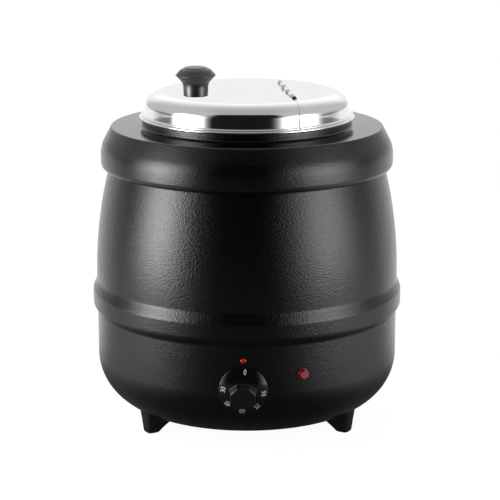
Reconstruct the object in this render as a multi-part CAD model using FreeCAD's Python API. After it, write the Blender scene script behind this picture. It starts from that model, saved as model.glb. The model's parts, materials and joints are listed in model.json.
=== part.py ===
import FreeCAD, Part
import math
import os
from FreeCAD import Rotation, Vector

# Soup kettle of the ten litre class, in millimetres.
# The origin is on the kettle's axis at table height, +Z is up and the controls face -Y.

# Fits and clearances
RUNNING_FIT = 0.05      # radial, between a turning pin and its bore
THREAD_FIT = 0.05       # radial, between a screw and its nut
HOLE_FIT = 0.3          # radial, round a screw or stud that passes a sheet
SEAT_GAP = 0.1          # between a piece cut to a curved wall and that wall
CUT_PAST = 1.0          # how far a cutting tool reaches past the face it cuts

# Outer shell: pressed steel barrel
SHELL_WALL = 1.0
BELLY_R = 165.8         # widest radius above the bead
BELLY_Z = 167.6         # height where the belly is widest
BELLY_CURVE = 468.0     # radius of the belly's upright curve
NECK_LEAN = 18.5        # degrees that the neck leans inwards at the top
NECK_BEND = 3.0
BEAD_R = 170.1
BEAD_TOP = 162.1        # height where the belly starts to swell into the bead
BEAD_RISE = 10.1        # height of the bead's upper slope
BEAD_FACE = 16.9        # height of the bead's upright face
BEAD_FALL = 6.7        # height of the bead's lower slope
BEAD_TOP_BEND = 12.0
BEAD_EDGE_BEND = 9.0
BEAD_FOOT_BEND = 5.0
LOWER_R = 165.4         # radius of the wall under the bead
TUCK_Z = 49.6           # height where the lower wall leans in
TUCK_BEND = 58.0
BOTTOM_TUCK = 37.4      # how far inside the lower wall the leaning wall would meet the flat bottom
BOTTOM_BEND = 40.0
BOTTOM_OPENING_R = 80.0

# Feet
FOOT_HEIGHT = 17.7      # from the table to the shell's flat bottom
FOOT_COUNT = 3
FOOT_INSET = 1.5        # from the corner of the shell's bottom to the sole's outer end
FOOT_SOLE_LENGTH = 15.5
FOOT_SOLE_WIDTH = 16.0
FOOT_OUTER_FLARE = 4.2      # how far each side leans out between the sole and the shell's bottom
FOOT_INNER_FLARE = 17.0
FOOT_SIDE_FLARE = 4.5
FOOT_CORNER = 4.0
FOOT_EDGE_ROUND = 1.2
FOOT_SCREW_INSET = 10.5 # from the sole's outer end to the screw
FOOT_RECESS_DEPTH = 8.0
FOOT_LIFT = 1.6         # the foot is drawn this many times too tall and cut to the shell
FOOT_FIRST = 90.0       # degrees from +X to the rear foot

# Top ring: pressed ring with the collar that carries the pot
RING_WALL = 1.2
RING_TOP = 331.0
RING_SLOPE = 11.7       # plan width of the skirt from the crease of the flat top to its widest
RING_EDGE_BEND = 2.0
RING_SETBACK = 6.6      # how far the skirt stays inside the belly's widest radius
RING_SHOULDER_Z = 309.0
RING_SHOULDER_BEND = 34.0
RING_LIP_Z = 285.1
RING_LIP_BEND = 7.5
COLLAR_R = 113.8
COLLAR_HEIGHT = 9.0
COLLAR_BEND = 2.5
COLLAR_DRIP = 3.0       # how far the folded inner wall hangs under the ring's top

# Pot
POT_R = 108.0           # inside
POT_WALL = 1.0
POT_FLOOR = 81.0        # height of the pot's inside floor
POT_FLOOR_BEND = 22.0
POT_MOUTH_BEND = 2.5
POT_RIM_R = 116.8
POT_BEAD_R = 1.3        # section radius of the rolled rim
POT_BEAD_DROP = 0.2     # how far the roll's centre lies under the ledge's top

# Water tank and its gasket
TANK_WALL = 1.0
WATER_GAP = 12.0        # between the pot and the tank
TANK_FLOOR = 57.0       # height of the tank's inside floor
TANK_FLOOR_BEND = 20.0
TANK_MOUTH_BEND = 5.0
SEAL_THICKNESS = 1.5
SEAL_OVERHANG = 4.0     # how far the gasket reaches in past the tank's wall
FLANGE_WIDTH = 18.0     # of the tank's flange and of its gasket, from the tank's wall
SHELL_FLANGE_GAP = 5.0  # from the tank's inside to the edge of the shell's flange
RING_STUD_OFFSET = 9.5  # from the tank's inside to the studs
RING_STUD_COUNT = 6
RING_STUD_FIRST = 30.0  # degrees from +X

# Lid
LID_R = 111.7
LID_WALL = 1.0
LID_HEIGHT = 26.1       # from the pot's ledge to the flat top
LID_FLAT_R = 77.5       # crease round the flat top
LID_CREASE_BEND = 18.0
LID_EASE = 4.8          # drop of the gentle slope from the crease to the shoulder's corner
LID_SHOULDER_BEND = 20.0
LID_HEM_R = 113.2
LID_HEM_HEIGHT = 2.2     # upright face of the hem
LID_HEM_SLOPE = 0.8      # height of the slope between the hem and the wall
LID_TURN = 7.6          # degrees that the loose lid lies turned on the pot
LID_SEAM = 0.6          # gap between the two halves
HINGE_OFFSET = 43.6     # from the lid's centre to the hinge line
HINGE_LENGTH = 118.0
HINGE_BARREL_R = 2.3
HINGE_RAISE = 0.5       # how far the hinge line lies above the flat top
HINGE_PIN_R = 1.0
KNUCKLE_COUNT = 7
KNUCKLE_GAP = 0.4
LEAF_THICKNESS = 0.8
LEAF_WIDTH = 12.0
LEAF_LENGTH = 96.0      # of the plate, which stays under the flat top
LEAF_CLEARANCE = 0.5    # round the barrel

# Lid knob
KNOB_FROM_CENTRE = 58.0     # across the hinge line
KNOB_ALONG_HINGE = -29.5
KNOB_BASE_R = 13.0
KNOB_NECK_R = 13.5
KNOB_NECK_HEIGHT = 13.0
KNOB_CAP_R = 21.6
KNOB_CAP_HEIGHT = 21.7      # height of the cap's widest edge
KNOB_SHOULDER_R = 16.5
KNOB_SHOULDER_HEIGHT = 27.4
KNOB_CROWN_R = 10.7
KNOB_HEIGHT = 30.3
KNOB_DISH = 0.8
KNOB_FOOT_BEND = 0.8
KNOB_NECK_BEND = 10.0
KNOB_EDGE_BEND = 1.2
KNOB_SHOULDER_BEND = 5.0
KNOB_CROWN_BEND = 2.5
WASHER_R = 11.5
WASHER_THICKNESS = 1.0
KNOB_SCREW_R = 2.4
KNOB_SCREW_DEPTH = 16.0
KNOB_SCREW_HEAD_R = 4.6
KNOB_SCREW_HEAD = 2.6

# Thermostat and its dial
DIAL_Z = 81.5
DIAL_R = 25.6
DIAL_GAP = 1.3          # between the dial's back and the shell
DIAL_SKIRT = 4.7
DIAL_TAPER = 0.7
DIAL_EDGE_ROUND = 1.5
DIAL_WALL = 2.4
DIAL_INSIDE_BEND = 1.0
GRIP_HEIGHT = 10.8
GRIP_TIP_HALF = 5.9     # half the width of the grip's top edge, at the skirt
GRIP_TIP_REACH = 11.3
GRIP_HALF = 14.9        # half the grip's width
GRIP_SHOULDER_REACH = 4.8
GRIP_CHEEK_REACH = -9.5
GRIP_TAIL_HALF = 9.0
GRIP_TAIL_REACH = -16.6
GRIP_TIP_DRAFT = 4.7    # how far the pointing end leans back over the grip's height
GRIP_SIDE_DRAFT = 2.1
GRIP_EDGE_ROUND = 0.7
DIAL_BOSS_R = 6.5
SPINDLE_R = 3.0
SPINDLE_FLAT = 1.0      # depth of the spindle's flat
SPINDLE_IN_DIAL = 13.0
SPINDLE_IN_BODY = 8.0
BUSH_R = 5.0
BUSH_LENGTH = 7.5
BUSH_NUT_R = 8.0
BUSH_NUT_THICKNESS = 2.5
BRACKET_SETBACK = 13.4  # from the shell's outside to the bracket's front face
BRACKET_WALL = 1.2
BRACKET_BOTTOM = 53.2
BRACKET_HEIGHT = 35.0
THERMOSTAT_WIDTH = 44.0
THERMOSTAT_HEIGHT = 30.0
THERMOSTAT_DEPTH = 23.0
THERMOSTAT_ROUND = 2.0
SPINDLE_HOLE_R = 7.0

# Sensor of the thermostat
CAPILLARY_R = 1.0
CAPILLARY_BEND = 14.0
CAPILLARY_FIRST_X = 68.8    # where the tube first bends away from the thermostat
CAPILLARY_SECOND_Y = -78.0  # where it bends again beside the tank
BULB_R = 3.2
BULB_LENGTH = 60.0
BULB_END_BEND = 1.9
BULB_FOOT_Z = 100.0
BULB_AZIMUTH = 70.0     # degrees to the right of the front
CLIP_THICKNESS = 0.8
CLIP_WIDTH = 22.0
CLIP_HEIGHT = 12.0

# Red index stud and indicator lamp
STUD_Z = 113.1
STUD_R = 3.1
STUD_PROUD = 1.9
STUD_SHANK_R = 1.9
STUD_BARB_R = 2.5
STUD_BARB = 2.0
STUD_DOME_SHARE = 0.85  # share of the proud height that is rounded
LAMP_Z = 96.2
LAMP_AZIMUTH = 21.8     # degrees to the right of the front
LENS_FLANGE_R = 5.8
LENS_FLANGE = 1.3
LENS_END_R = 3.6
LENS_PROUD = 5.8
LENS_LEDGE = 0.8        # step between the flange and the lens's cone
LENS_FLANGE_ROUND = 0.6
LENS_END_ROUND = 0.9
LENS_SHANK_R = 4.3
LAMP_HOLDER_R = 6.0
LAMP_HOLDER_LENGTH = 21.0
LAMP_CLIP_R = 7.2
LAMP_CLIP = 1.0

# Heater under the tank
ELEMENT_R = 80.0
ELEMENT_TUBE_R = 4.0
ELEMENT_OPENING = 15.0  # degrees each side of the rear that the ring leaves open
ELEMENT_BEND = 10.0
ELEMENT_LEG_END = 36.0
ELEMENT_PIN_R = 2.0
ELEMENT_PIN = 6.0
CLAMP_R = 90.0
CLAMP_WALL = 1.5
CLAMP_NOTCH_HALF = 20.0
CLAMP_WINDOW_R = 19.0   # round the cut-out's clip
CLAMP_STUD_R = 3.0
CLAMP_STUD_END = 31.0
REFLECTOR_R = 112.0
REFLECTOR_Z = 38.0
REFLECTOR_RIM = 9.0
REFLECTOR_WALL = 0.8
REFLECTOR_BEND = 6.0
SPACER_R = 5.0
CUTOUT_Y = -45.0
CUTOUT_R = 9.0
CUTOUT_HEIGHT = 7.0
CUTOUT_BASE_R = 6.5
CUTOUT_BASE = 5.0
CUTOUT_CLIP_LENGTH = 34.0
CUTOUT_CLIP_WIDTH = 9.0
CUTOUT_TAB_SPACING = 8.0
LEG_HOLE_R = 7.0

# Base plate, terminals and supply inlet
BASE_R = 92.0
BASE_WALL = 1.2
BASE_SCREW_CIRCLE_R = 87.0
BASE_SCREW_COUNT = 4
BASE_SCREW_FIRST = 45.0
VENT_COUNT = 12
VENT_FIRST = 15.0
VENT_CIRCLE_R = 62.0
VENT_LENGTH = 24.0
VENT_WIDTH = 4.0
TERMINAL_X = 48.0
TERMINAL_Y = 30.0
TERMINAL_LENGTH = 34.0
TERMINAL_WIDTH = 18.0
TERMINAL_HEIGHT = 13.0
TERMINAL_POLES = 3
TERMINAL_SCREW_R = 2.2
TERMINAL_SCREW_DEPTH = 6.0
TERMINAL_SCREW_SINK = 2.0
TERMINAL_GROOVE_WIDTH = 1.2
TERMINAL_GROOVE_DEPTH = 3.0
SCREW_SLOT_WIDTH = 0.8
SCREW_SLOT_DEPTH = 1.0
EARTH_X = 66.0
EARTH_Y = 0.0
EARTH_STUD = 10.0
INLET_Z = 90.0
INLET_BORE_R = 3.6
INLET_SHANK_R = 6.4
INLET_FLANGE_R = 9.5
INLET_PROUD = 6.0
INLET_COLLAR_R = 8.0
INLET_COLLAR = 3.0
INLET_FLANGE_ROUND = 1.5
INLET_END_ROUND = 1.0
INLET_AZIMUTH = 180.0   # degrees from the front
LEAD_R = 1.3
LEAD_BEND = 5.0
TAB_WIDTH = 6.3         # flat push-on terminal
TAB_THICKNESS = 0.8
TAB_LENGTH = 8.0

# Common fasteners, M4
SCREW_R = 2.0
SCREW_HEAD_R = 3.5
SCREW_HEAD = 2.4
HEAD_DOME_SHARE = 0.35  # share of a screw head's height that is rounded
NUT_FLATS = 7.0
NUT_THICKNESS = 3.2
STUD_TAIL = 1.5         # thread showing past a nut
CLAMP_NUT_FLATS = 10.0
CLAMP_NUT_THICKNESS = 4.0

# Radii and levels that follow from the sizes above
BOTTOM_R = LOWER_R - BOTTOM_TUCK
FOOT_SOLE_OUTER_R = BOTTOM_R - FOOT_INSET
FOOT_SOLE_INNER_R = FOOT_SOLE_OUTER_R - FOOT_SOLE_LENGTH
FOOT_SCREW_CIRCLE_R = FOOT_SOLE_OUTER_R - FOOT_SCREW_INSET
RING_R = BELLY_R - RING_SETBACK
RING_EDGE_R = RING_R - RING_SLOPE
TANK_R = POT_R + POT_WALL + WATER_GAP
SEAL_INNER_R = TANK_R - SEAL_OVERHANG
FLANGE_R = TANK_R + FLANGE_WIDTH
SHELL_FLANGE_INNER_R = TANK_R + SHELL_FLANGE_GAP
RING_STUD_CIRCLE_R = TANK_R + RING_STUD_OFFSET
BRACKET_FRONT = LOWER_R - BRACKET_SETBACK
SHELL_BOTTOM = FOOT_HEIGHT
RING_UNDERSIDE = RING_TOP - RING_WALL
TANK_FLANGE_TOP = RING_UNDERSIDE - SEAL_THICKNESS
SHELL_FLANGE_TOP = TANK_FLANGE_TOP - TANK_WALL
COLLAR_TOP = RING_TOP + COLLAR_HEIGHT
POT_LEDGE = COLLAR_TOP + POT_WALL
LID_TOP = POT_LEDGE + LID_HEIGHT
HINGE_Z = LID_TOP + HINGE_RAISE
TANK_UNDERSIDE = TANK_FLOOR - TANK_WALL
ELEMENT_Z = TANK_UNDERSIDE - ELEMENT_TUBE_R
CLAMP_TOP = ELEMENT_Z - ELEMENT_TUBE_R - SEAT_GAP
CLAMP_UNDERSIDE = CLAMP_TOP - CLAMP_WALL
BASE_TOP = SHELL_BOTTOM
BASE_UNDERSIDE = BASE_TOP - BASE_WALL
DIAL_BACK = LOWER_R + DIAL_GAP
LEAD_LEVEL = (BASE_TOP + REFLECTOR_Z) / 2
LEAD_DROP_R = TANK_R + TANK_WALL + LEAD_BEND
UP = Vector(0, 0, 1)


# Outlines in the radius and height plane. A corner is (radius, height, bend radius).
def corner(radius, height, bend=0.0):
    return (Vector(radius, 0, height), bend)


def bent_edges(corners, closed):
    """Straight runs between corners, each corner rounded by an arc of its bend radius."""
    count = len(corners)
    starts = []
    ends = []
    arcs = []
    for i, (point, bend) in enumerate(corners):
        is_end = not closed and i in (0, count - 1)
        if bend == 0 or is_end:
            starts.append(point)
            ends.append(point)
            arcs.append(None)
            continue
        back = (corners[i - 1][0] - point).normalize()
        ahead = (corners[(i + 1) % count][0] - point).normalize()
        half = back.getAngle(ahead) / 2
        reach = bend / math.tan(half)
        middle_way = (back + ahead).normalize()
        middle = point + middle_way * (bend / math.sin(half) - bend)
        starts.append(point + back * reach)
        ends.append(point + ahead * reach)
        arcs.append(Part.Arc(starts[i], middle, ends[i]).toShape())
    edges = []
    for i in range(count):
        if arcs[i]:
            edges.append(arcs[i])
        if i == count - 1 and not closed:
            break
        following = starts[(i + 1) % count]
        if (following - ends[i]).Length > 1e-6:
            edges.append(Part.LineSegment(ends[i], following).toShape())
    return edges


def moved_sideways(corners, distance):
    """The same bent line moved to the right of its direction, corner by corner."""
    points = [point for point, bend in corners]
    ways = [(b - a).normalize() for a, b in zip(points, points[1:])]
    sides = [Vector(way.z, 0, -way.x) for way in ways]
    moved = [(points[0] + sides[0] * distance, 0.0)]
    for i in range(1, len(points) - 1):
        turn = ways[i - 1].x * ways[i].z - ways[i - 1].z * ways[i].x
        middle_side = (sides[i - 1] + sides[i]).normalize()
        shift = distance / middle_side.dot(sides[i])
        bend = corners[i][1]
        if bend > 0:
            bend = bend + distance * math.copysign(1, turn)
        moved.append((points[i] + middle_side * shift, bend))
    moved.append((points[-1] + sides[-1] * distance, 0.0))
    return moved


def turned(corners):
    """A solid of revolution about the kettle's axis from a closed outline."""
    face = Part.Face(Part.Wire(bent_edges(corners, True)))
    return face.revolve(Vector(0, 0, 0), UP, 360)


def turned_sheet(corners, wall):
    """A sheet pressing: one side of the sheet is the line, its wall lies to the line's right."""
    other_side = moved_sideways(corners, wall)
    return turned(list(corners) + other_side[::-1])


# Simple solids and placing
def disc(radius, bottom, top):
    return Part.makeCylinder(radius, top - bottom, Vector(0, 0, bottom))


def washer(outer, inner, bottom, top):
    return disc(outer, bottom, top).cut(disc(inner, bottom - CUT_PAST, top + CUT_PAST))


def at(shape, x, y, z=0.0):
    copy = shape.copy()
    copy.translate(Vector(x, y, z))
    return copy


def block(length, width, height, centre_x, centre_y, bottom):
    corner_point = Vector(centre_x - length / 2, centre_y - width / 2, bottom)
    return Part.makeBox(length, width, height, corner_point)


def around(shape, radius, count, first=0.0):
    """Copies of a shape at equal steps round the kettle's axis."""
    copies = []
    for i in range(count):
        copy = at(shape, radius, 0)
        copy.rotate(Vector(0, 0, 0), UP, first + 360.0 * i / count)
        copies.append(copy)
    return copies


def outwards(shape, distance, height, azimuth=0.0):
    """Place a piece whose +Z points out of the shell, at an azimuth to the right of the front."""
    copy = shape.copy()
    copy.rotate(Vector(0, 0, 0), Vector(1, 0, 0), 90)
    copy.translate(Vector(0, -distance, height))
    copy.rotate(Vector(0, 0, 0), UP, azimuth)
    return copy


def on_lid(shape):
    """Turn a piece that is drawn with the hinge line along Y to the lid's place on the pot."""
    copy = shape.copy()
    copy.rotate(Vector(0, 0, 0), UP, LID_TURN)
    return copy


def hex_nut(flats, thickness, bore, top):
    """A hexagon nut under a face at the height top."""
    reach = flats / math.sqrt(3)
    angles = [math.radians(60 * i) for i in range(7)]
    points = [Vector(reach * math.cos(angle), reach * math.sin(angle), top - thickness) for angle in angles]
    prism = Part.Face(Part.makePolygon(points)).extrude(UP * thickness)
    return prism.cut(disc(bore, top - thickness - CUT_PAST, top + CUT_PAST))


def pan_screw(shank_r, head_r, head, under_face, length):
    """A screw that points up, with its head under the face at the height under_face."""
    head_z = under_face - head
    tip_z = under_face + length
    return turned([
        corner(0, head_z),
        corner(head_r, head_z, head * HEAD_DOME_SHARE),
        corner(head_r, under_face),
        corner(shank_r, under_face),
        corner(shank_r, tip_z),
        corner(0, tip_z),
    ])


def round_rod(points, radius, bend):
    """A round rod along straight runs whose corners are arcs of the bend radius."""
    path = Part.Wire(bent_edges([(point, bend) for point in points], False))
    way = (points[1] - points[0]).normalize()
    profile = Part.Wire(Part.makeCircle(radius, points[0], way))
    return path.makePipeShell([profile], True, False)


# The shell's wall line, from the inner edge of the top flange down the outside
def shell_line():
    lean = math.radians(NECK_LEAN)
    belly_corner_z = BELLY_Z + BELLY_CURVE * math.tan(lean / 2)
    neck_r = BELLY_R - (SHELL_FLANGE_TOP - belly_corner_z) * math.tan(lean)
    bead_edge_z = BEAD_TOP - BEAD_RISE
    bead_low_z = bead_edge_z - BEAD_FACE
    return [
        corner(SHELL_FLANGE_INNER_R, SHELL_FLANGE_TOP),
        corner(neck_r, SHELL_FLANGE_TOP, NECK_BEND),
        corner(BELLY_R, belly_corner_z, BELLY_CURVE),
        corner(BELLY_R, BEAD_TOP, BEAD_TOP_BEND),
        corner(BEAD_R, bead_edge_z, BEAD_EDGE_BEND),
        corner(BEAD_R, bead_low_z, BEAD_EDGE_BEND),
        corner(LOWER_R, bead_low_z - BEAD_FALL, BEAD_FOOT_BEND),
        corner(LOWER_R, TUCK_Z, TUCK_BEND),
        corner(BOTTOM_R, SHELL_BOTTOM, BOTTOM_BEND),
        corner(BOTTOM_OPENING_R, SHELL_BOTTOM),
    ]


def belly_radius(height):
    """Radius of the shell's outside at a height on the belly's curve."""
    return BELLY_R - BELLY_CURVE + math.sqrt(BELLY_CURVE ** 2 - (height - BELLY_Z) ** 2)


def shell_core(inset):
    """The solid that the shell's wall line encloses, drawn in by the inset."""
    line = moved_sideways(shell_line(), inset)
    first = line[0][0]
    last = line[-1][0]
    return turned([corner(0, first.z)] + line + [corner(0, last.z)])


def stud_circle(shape):
    return around(shape, RING_STUD_CIRCLE_R, RING_STUD_COUNT, RING_STUD_FIRST)


def base_circle(shape):
    return around(shape, BASE_SCREW_CIRCLE_R, BASE_SCREW_COUNT, BASE_SCREW_FIRST)


def foot_circle(shape):
    return around(shape, FOOT_SCREW_CIRCLE_R, FOOT_COUNT, FOOT_FIRST)


def stud_holes(bottom, top):
    return stud_circle(disc(SCREW_R + HOLE_FIT, bottom, top))


# Casing
def outer_shell():
    shell = turned_sheet(shell_line(), SHELL_WALL)
    deep = LOWER_R - TANK_R
    front_holes = [
        outwards(disc(SPINDLE_HOLE_R, 0, deep), TANK_R, DIAL_Z),
        outwards(disc(STUD_SHANK_R + SEAT_GAP, 0, deep), TANK_R, STUD_Z),
        outwards(disc(LENS_SHANK_R + HOLE_FIT, 0, deep), TANK_R, LAMP_Z, LAMP_AZIMUTH),
        outwards(disc(INLET_SHANK_R + SEAT_GAP, 0, deep), TANK_R, INLET_Z, INLET_AZIMUTH),
    ]
    low = SHELL_BOTTOM - CUT_PAST
    high = SHELL_BOTTOM + 5 * SHELL_WALL
    bottom_holes = base_circle(disc(SCREW_R + THREAD_FIT, low, high))
    bottom_holes += foot_circle(disc(SCREW_R + HOLE_FIT, low, high))
    top_holes = stud_holes(SHELL_FLANGE_TOP - 2 * SHELL_WALL, SHELL_FLANGE_TOP + CUT_PAST)
    return shell.cut(front_holes + bottom_holes + top_holes)


def top_ring():
    lip_r = belly_radius(RING_LIP_Z) + HOLE_FIT
    skirt = [
        corner(COLLAR_R, RING_TOP, COLLAR_BEND),
        corner(RING_EDGE_R, RING_TOP, RING_EDGE_BEND),
        corner(RING_R, RING_SHOULDER_Z, RING_SHOULDER_BEND),
        corner(RING_R, RING_LIP_Z, RING_LIP_BEND),
        corner(lip_r, RING_LIP_Z),
    ]
    underside = moved_sideways(skirt, RING_WALL)[1:]
    fold_r = COLLAR_R - RING_WALL
    collar_edge = RING_WALL / 2
    collar = [
        corner(fold_r, RING_UNDERSIDE),
        corner(fold_r, RING_UNDERSIDE - COLLAR_DRIP),
        corner(fold_r - RING_WALL, RING_UNDERSIDE - COLLAR_DRIP),
        corner(fold_r - RING_WALL, COLLAR_TOP, collar_edge),
        corner(COLLAR_R, COLLAR_TOP, collar_edge),
    ]
    return turned(skirt + underside[::-1] + collar)


def ring_studs():
    end = SHELL_FLANGE_TOP - SHELL_WALL - NUT_THICKNESS - STUD_TAIL
    return Part.makeCompound(stud_circle(disc(SCREW_R, end, RING_UNDERSIDE)))


def ring_nuts():
    nut = hex_nut(NUT_FLATS, NUT_THICKNESS, SCREW_R + THREAD_FIT, SHELL_FLANGE_TOP - SHELL_WALL)
    return Part.makeCompound(stud_circle(nut))


def rounded_rectangle(near, far, half_width, round_r, height):
    corners = [(near, -half_width), (far, -half_width), (far, half_width), (near, half_width)]
    points = [(Vector(x, y, height), round_r) for x, y in corners]
    return Part.Wire(bent_edges(points, True))


def foot():
    """One foot, drawn on +X: its sides flare up to the shell and its top follows the shell's bottom."""
    half = FOOT_SOLE_WIDTH / 2
    crown_inner_r = FOOT_SOLE_INNER_R - FOOT_INNER_FLARE * FOOT_LIFT
    crown_outer_r = FOOT_SOLE_OUTER_R + FOOT_OUTER_FLARE * FOOT_LIFT
    crown_half = half + FOOT_SIDE_FLARE * FOOT_LIFT
    crown_z = FOOT_HEIGHT * FOOT_LIFT
    sole = rounded_rectangle(FOOT_SOLE_INNER_R, FOOT_SOLE_OUTER_R, half, FOOT_CORNER, 0)
    crown = rounded_rectangle(crown_inner_r, crown_outer_r, crown_half, FOOT_CORNER, crown_z)
    body = Part.makeLoft([sole, crown], True, True)
    sole_edges = [edge for edge in body.Edges if edge.CenterOfMass.z < 1e-6]
    body = body.makeFillet(FOOT_EDGE_ROUND, sole_edges)
    body = body.cut(shell_core(-SEAT_GAP))
    screw_way = disc(SCREW_R + HOLE_FIT, -CUT_PAST, crown_z)
    recess = disc(SCREW_HEAD_R + HOLE_FIT, -CUT_PAST, FOOT_RECESS_DEPTH)
    return body.cut([at(screw_way, FOOT_SCREW_CIRCLE_R, 0), at(recess, FOOT_SCREW_CIRCLE_R, 0)])


def feet():
    """The three feet at equal steps round the axis, from the rear one."""
    names = ["foot_rear", "foot_front_left", "foot_front_right"]
    shape = foot()
    made = {}
    for i, name in enumerate(names):
        copy = shape.copy()
        copy.rotate(Vector(0, 0, 0), UP, FOOT_FIRST + 360.0 * i / FOOT_COUNT)
        made[name] = copy
    return made


def foot_nut_top():
    return SHELL_BOTTOM + SHELL_WALL + SEAT_GAP + NUT_THICKNESS


def foot_screws():
    length = foot_nut_top() + STUD_TAIL - FOOT_RECESS_DEPTH
    screw = pan_screw(SCREW_R, SCREW_HEAD_R, SCREW_HEAD, FOOT_RECESS_DEPTH, length)
    return Part.makeCompound(foot_circle(screw))


def foot_nuts():
    """Weld nuts whose seats follow the shell's inside."""
    nut = hex_nut(NUT_FLATS, NUT_THICKNESS, SCREW_R + THREAD_FIT, foot_nut_top())
    inside = shell_core(SHELL_WALL + SEAT_GAP)
    return Part.makeCompound([copy.common(inside).Solids[0] for copy in foot_circle(nut)])


def vent_slot():
    low = BASE_UNDERSIDE - CUT_PAST
    high = BASE_TOP + CUT_PAST
    straight = VENT_LENGTH - VENT_WIDTH
    middle = block(straight, VENT_WIDTH, high - low, 0, 0, low)
    end = disc(VENT_WIDTH / 2, low, high)
    return middle.fuse([at(end, -straight / 2, 0), at(end, straight / 2, 0)])


def base_plate():
    plate = disc(BASE_R, BASE_UNDERSIDE, BASE_TOP)
    holes = base_circle(disc(SCREW_R + HOLE_FIT, BASE_UNDERSIDE - CUT_PAST, BASE_TOP + CUT_PAST))
    return plate.cut(holes + around(vent_slot(), VENT_CIRCLE_R, VENT_COUNT, VENT_FIRST))


def base_screws():
    length = BASE_WALL + SHELL_WALL + STUD_TAIL
    screw = pan_screw(SCREW_R, SCREW_HEAD_R, SCREW_HEAD, BASE_UNDERSIDE, length)
    return Part.makeCompound(base_circle(screw))


# Tank and pot
def water_tank():
    tank = turned_sheet([
        corner(FLANGE_R, TANK_FLANGE_TOP),
        corner(TANK_R, TANK_FLANGE_TOP, TANK_MOUTH_BEND),
        corner(TANK_R, TANK_FLOOR, TANK_FLOOR_BEND),
        corner(0, TANK_FLOOR),
    ], -TANK_WALL)
    return tank.cut(stud_holes(SHELL_FLANGE_TOP - CUT_PAST, TANK_FLANGE_TOP + CUT_PAST))


def tank_seal():
    ring = washer(FLANGE_R, SEAL_INNER_R, TANK_FLANGE_TOP, RING_UNDERSIDE)
    return ring.cut(stud_holes(TANK_FLANGE_TOP - CUT_PAST, RING_UNDERSIDE + CUT_PAST))


def inner_pot():
    roll_r = POT_RIM_R - POT_BEAD_R
    pot = turned_sheet([
        corner(roll_r, POT_LEDGE),
        corner(POT_R, POT_LEDGE, POT_MOUTH_BEND),
        corner(POT_R, POT_FLOOR, POT_FLOOR_BEND),
        corner(0, POT_FLOOR),
    ], -POT_WALL)
    roll = Part.makeTorus(roll_r, POT_BEAD_R, Vector(0, 0, POT_LEDGE - POT_BEAD_DROP))
    return pot.fuse(roll).removeSplitter()


# Lid: one pressing cut in two along the hinge line, drawn with that line along Y
def lid_pressing():
    hem_top = POT_LEDGE + LID_HEM_HEIGHT
    top = [
        corner(0, LID_TOP),
        corner(LID_FLAT_R, LID_TOP, LID_CREASE_BEND),
        corner(LID_R, LID_TOP - LID_EASE, LID_SHOULDER_BEND),
    ]
    hem = [
        corner(LID_R, hem_top + LID_HEM_SLOPE),
        corner(LID_HEM_R, hem_top),
        corner(LID_HEM_R, POT_LEDGE),
    ]
    underside = moved_sideways(top + [corner(LID_R, POT_LEDGE)], LID_WALL)
    return turned(top + hem + underside[::-1])


def lid_half(side):
    """The half of the pressing on one side of the hinge line, with room for the hinge's barrel."""
    reach = 2 * LID_HEM_R
    tall = 2 * LID_HEIGHT
    edge = HINGE_OFFSET + side * LID_SEAM / 2
    keep = block(reach, reach, tall, edge + side * reach / 2, 0, POT_LEDGE - LID_HEIGHT / 2)
    slot_width = 2 * (HINGE_BARREL_R + LEAF_CLEARANCE)
    slot_length = HINGE_LENGTH + 2 * LEAF_CLEARANCE
    slot = block(slot_width, slot_length, tall, HINGE_OFFSET, 0, POT_LEDGE + LID_HEIGHT / 2)
    return lid_pressing().common(keep).cut(slot)


def knob_place(shape):
    return at(shape, -KNOB_FROM_CENTRE, KNOB_ALONG_HINGE)


def lid_flap():
    hole = disc(KNOB_SCREW_R + HOLE_FIT, LID_TOP - 2 * LID_WALL, LID_TOP + CUT_PAST)
    return on_lid(lid_half(-1).cut(knob_place(hole)))


def lid_fixed_part():
    return on_lid(lid_half(1))


def hinge_bore():
    way = Vector(0, 1, 0)
    start = Vector(HINGE_OFFSET, -HINGE_LENGTH, HINGE_Z)
    return Part.makeCylinder(HINGE_PIN_R + RUNNING_FIT, 2 * HINGE_LENGTH, start, way)


def hinge_leaf(side, first):
    """One leaf with every second knuckle: its plate lies under the lid's sheet."""
    step = HINGE_LENGTH / KNUCKLE_COUNT
    leaf_top = LID_TOP - LID_WALL
    leaf_bottom = leaf_top - LEAF_THICKNESS
    inner = HINGE_BARREL_R + LEAF_CLEARANCE
    plate_width = LEAF_WIDTH - inner
    plate_x = HINGE_OFFSET + side * (inner + plate_width / 2)
    leaf = block(plate_width, LEAF_LENGTH, LEAF_THICKNESS, plate_x, 0, leaf_bottom)
    for i in range(first, KNUCKLE_COUNT, 2):
        low = -HINGE_LENGTH / 2 + i * step + KNUCKLE_GAP / 2
        length = step - KNUCKLE_GAP
        start = Vector(HINGE_OFFSET, low, HINGE_Z)
        barrel = Part.makeCylinder(HINGE_BARREL_R, length, start, Vector(0, 1, 0))
        tongue_x = HINGE_OFFSET + side * inner / 2
        tongue = block(inner, length, LEAF_THICKNESS, tongue_x, low + length / 2, leaf_bottom)
        leaf = leaf.fuse([barrel, tongue])
    return on_lid(leaf.removeSplitter().cut(hinge_bore()))


def hinge_pin():
    start = Vector(HINGE_OFFSET, -HINGE_LENGTH / 2, HINGE_Z)
    return on_lid(Part.makeCylinder(HINGE_PIN_R, HINGE_LENGTH, start, Vector(0, 1, 0)))


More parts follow.
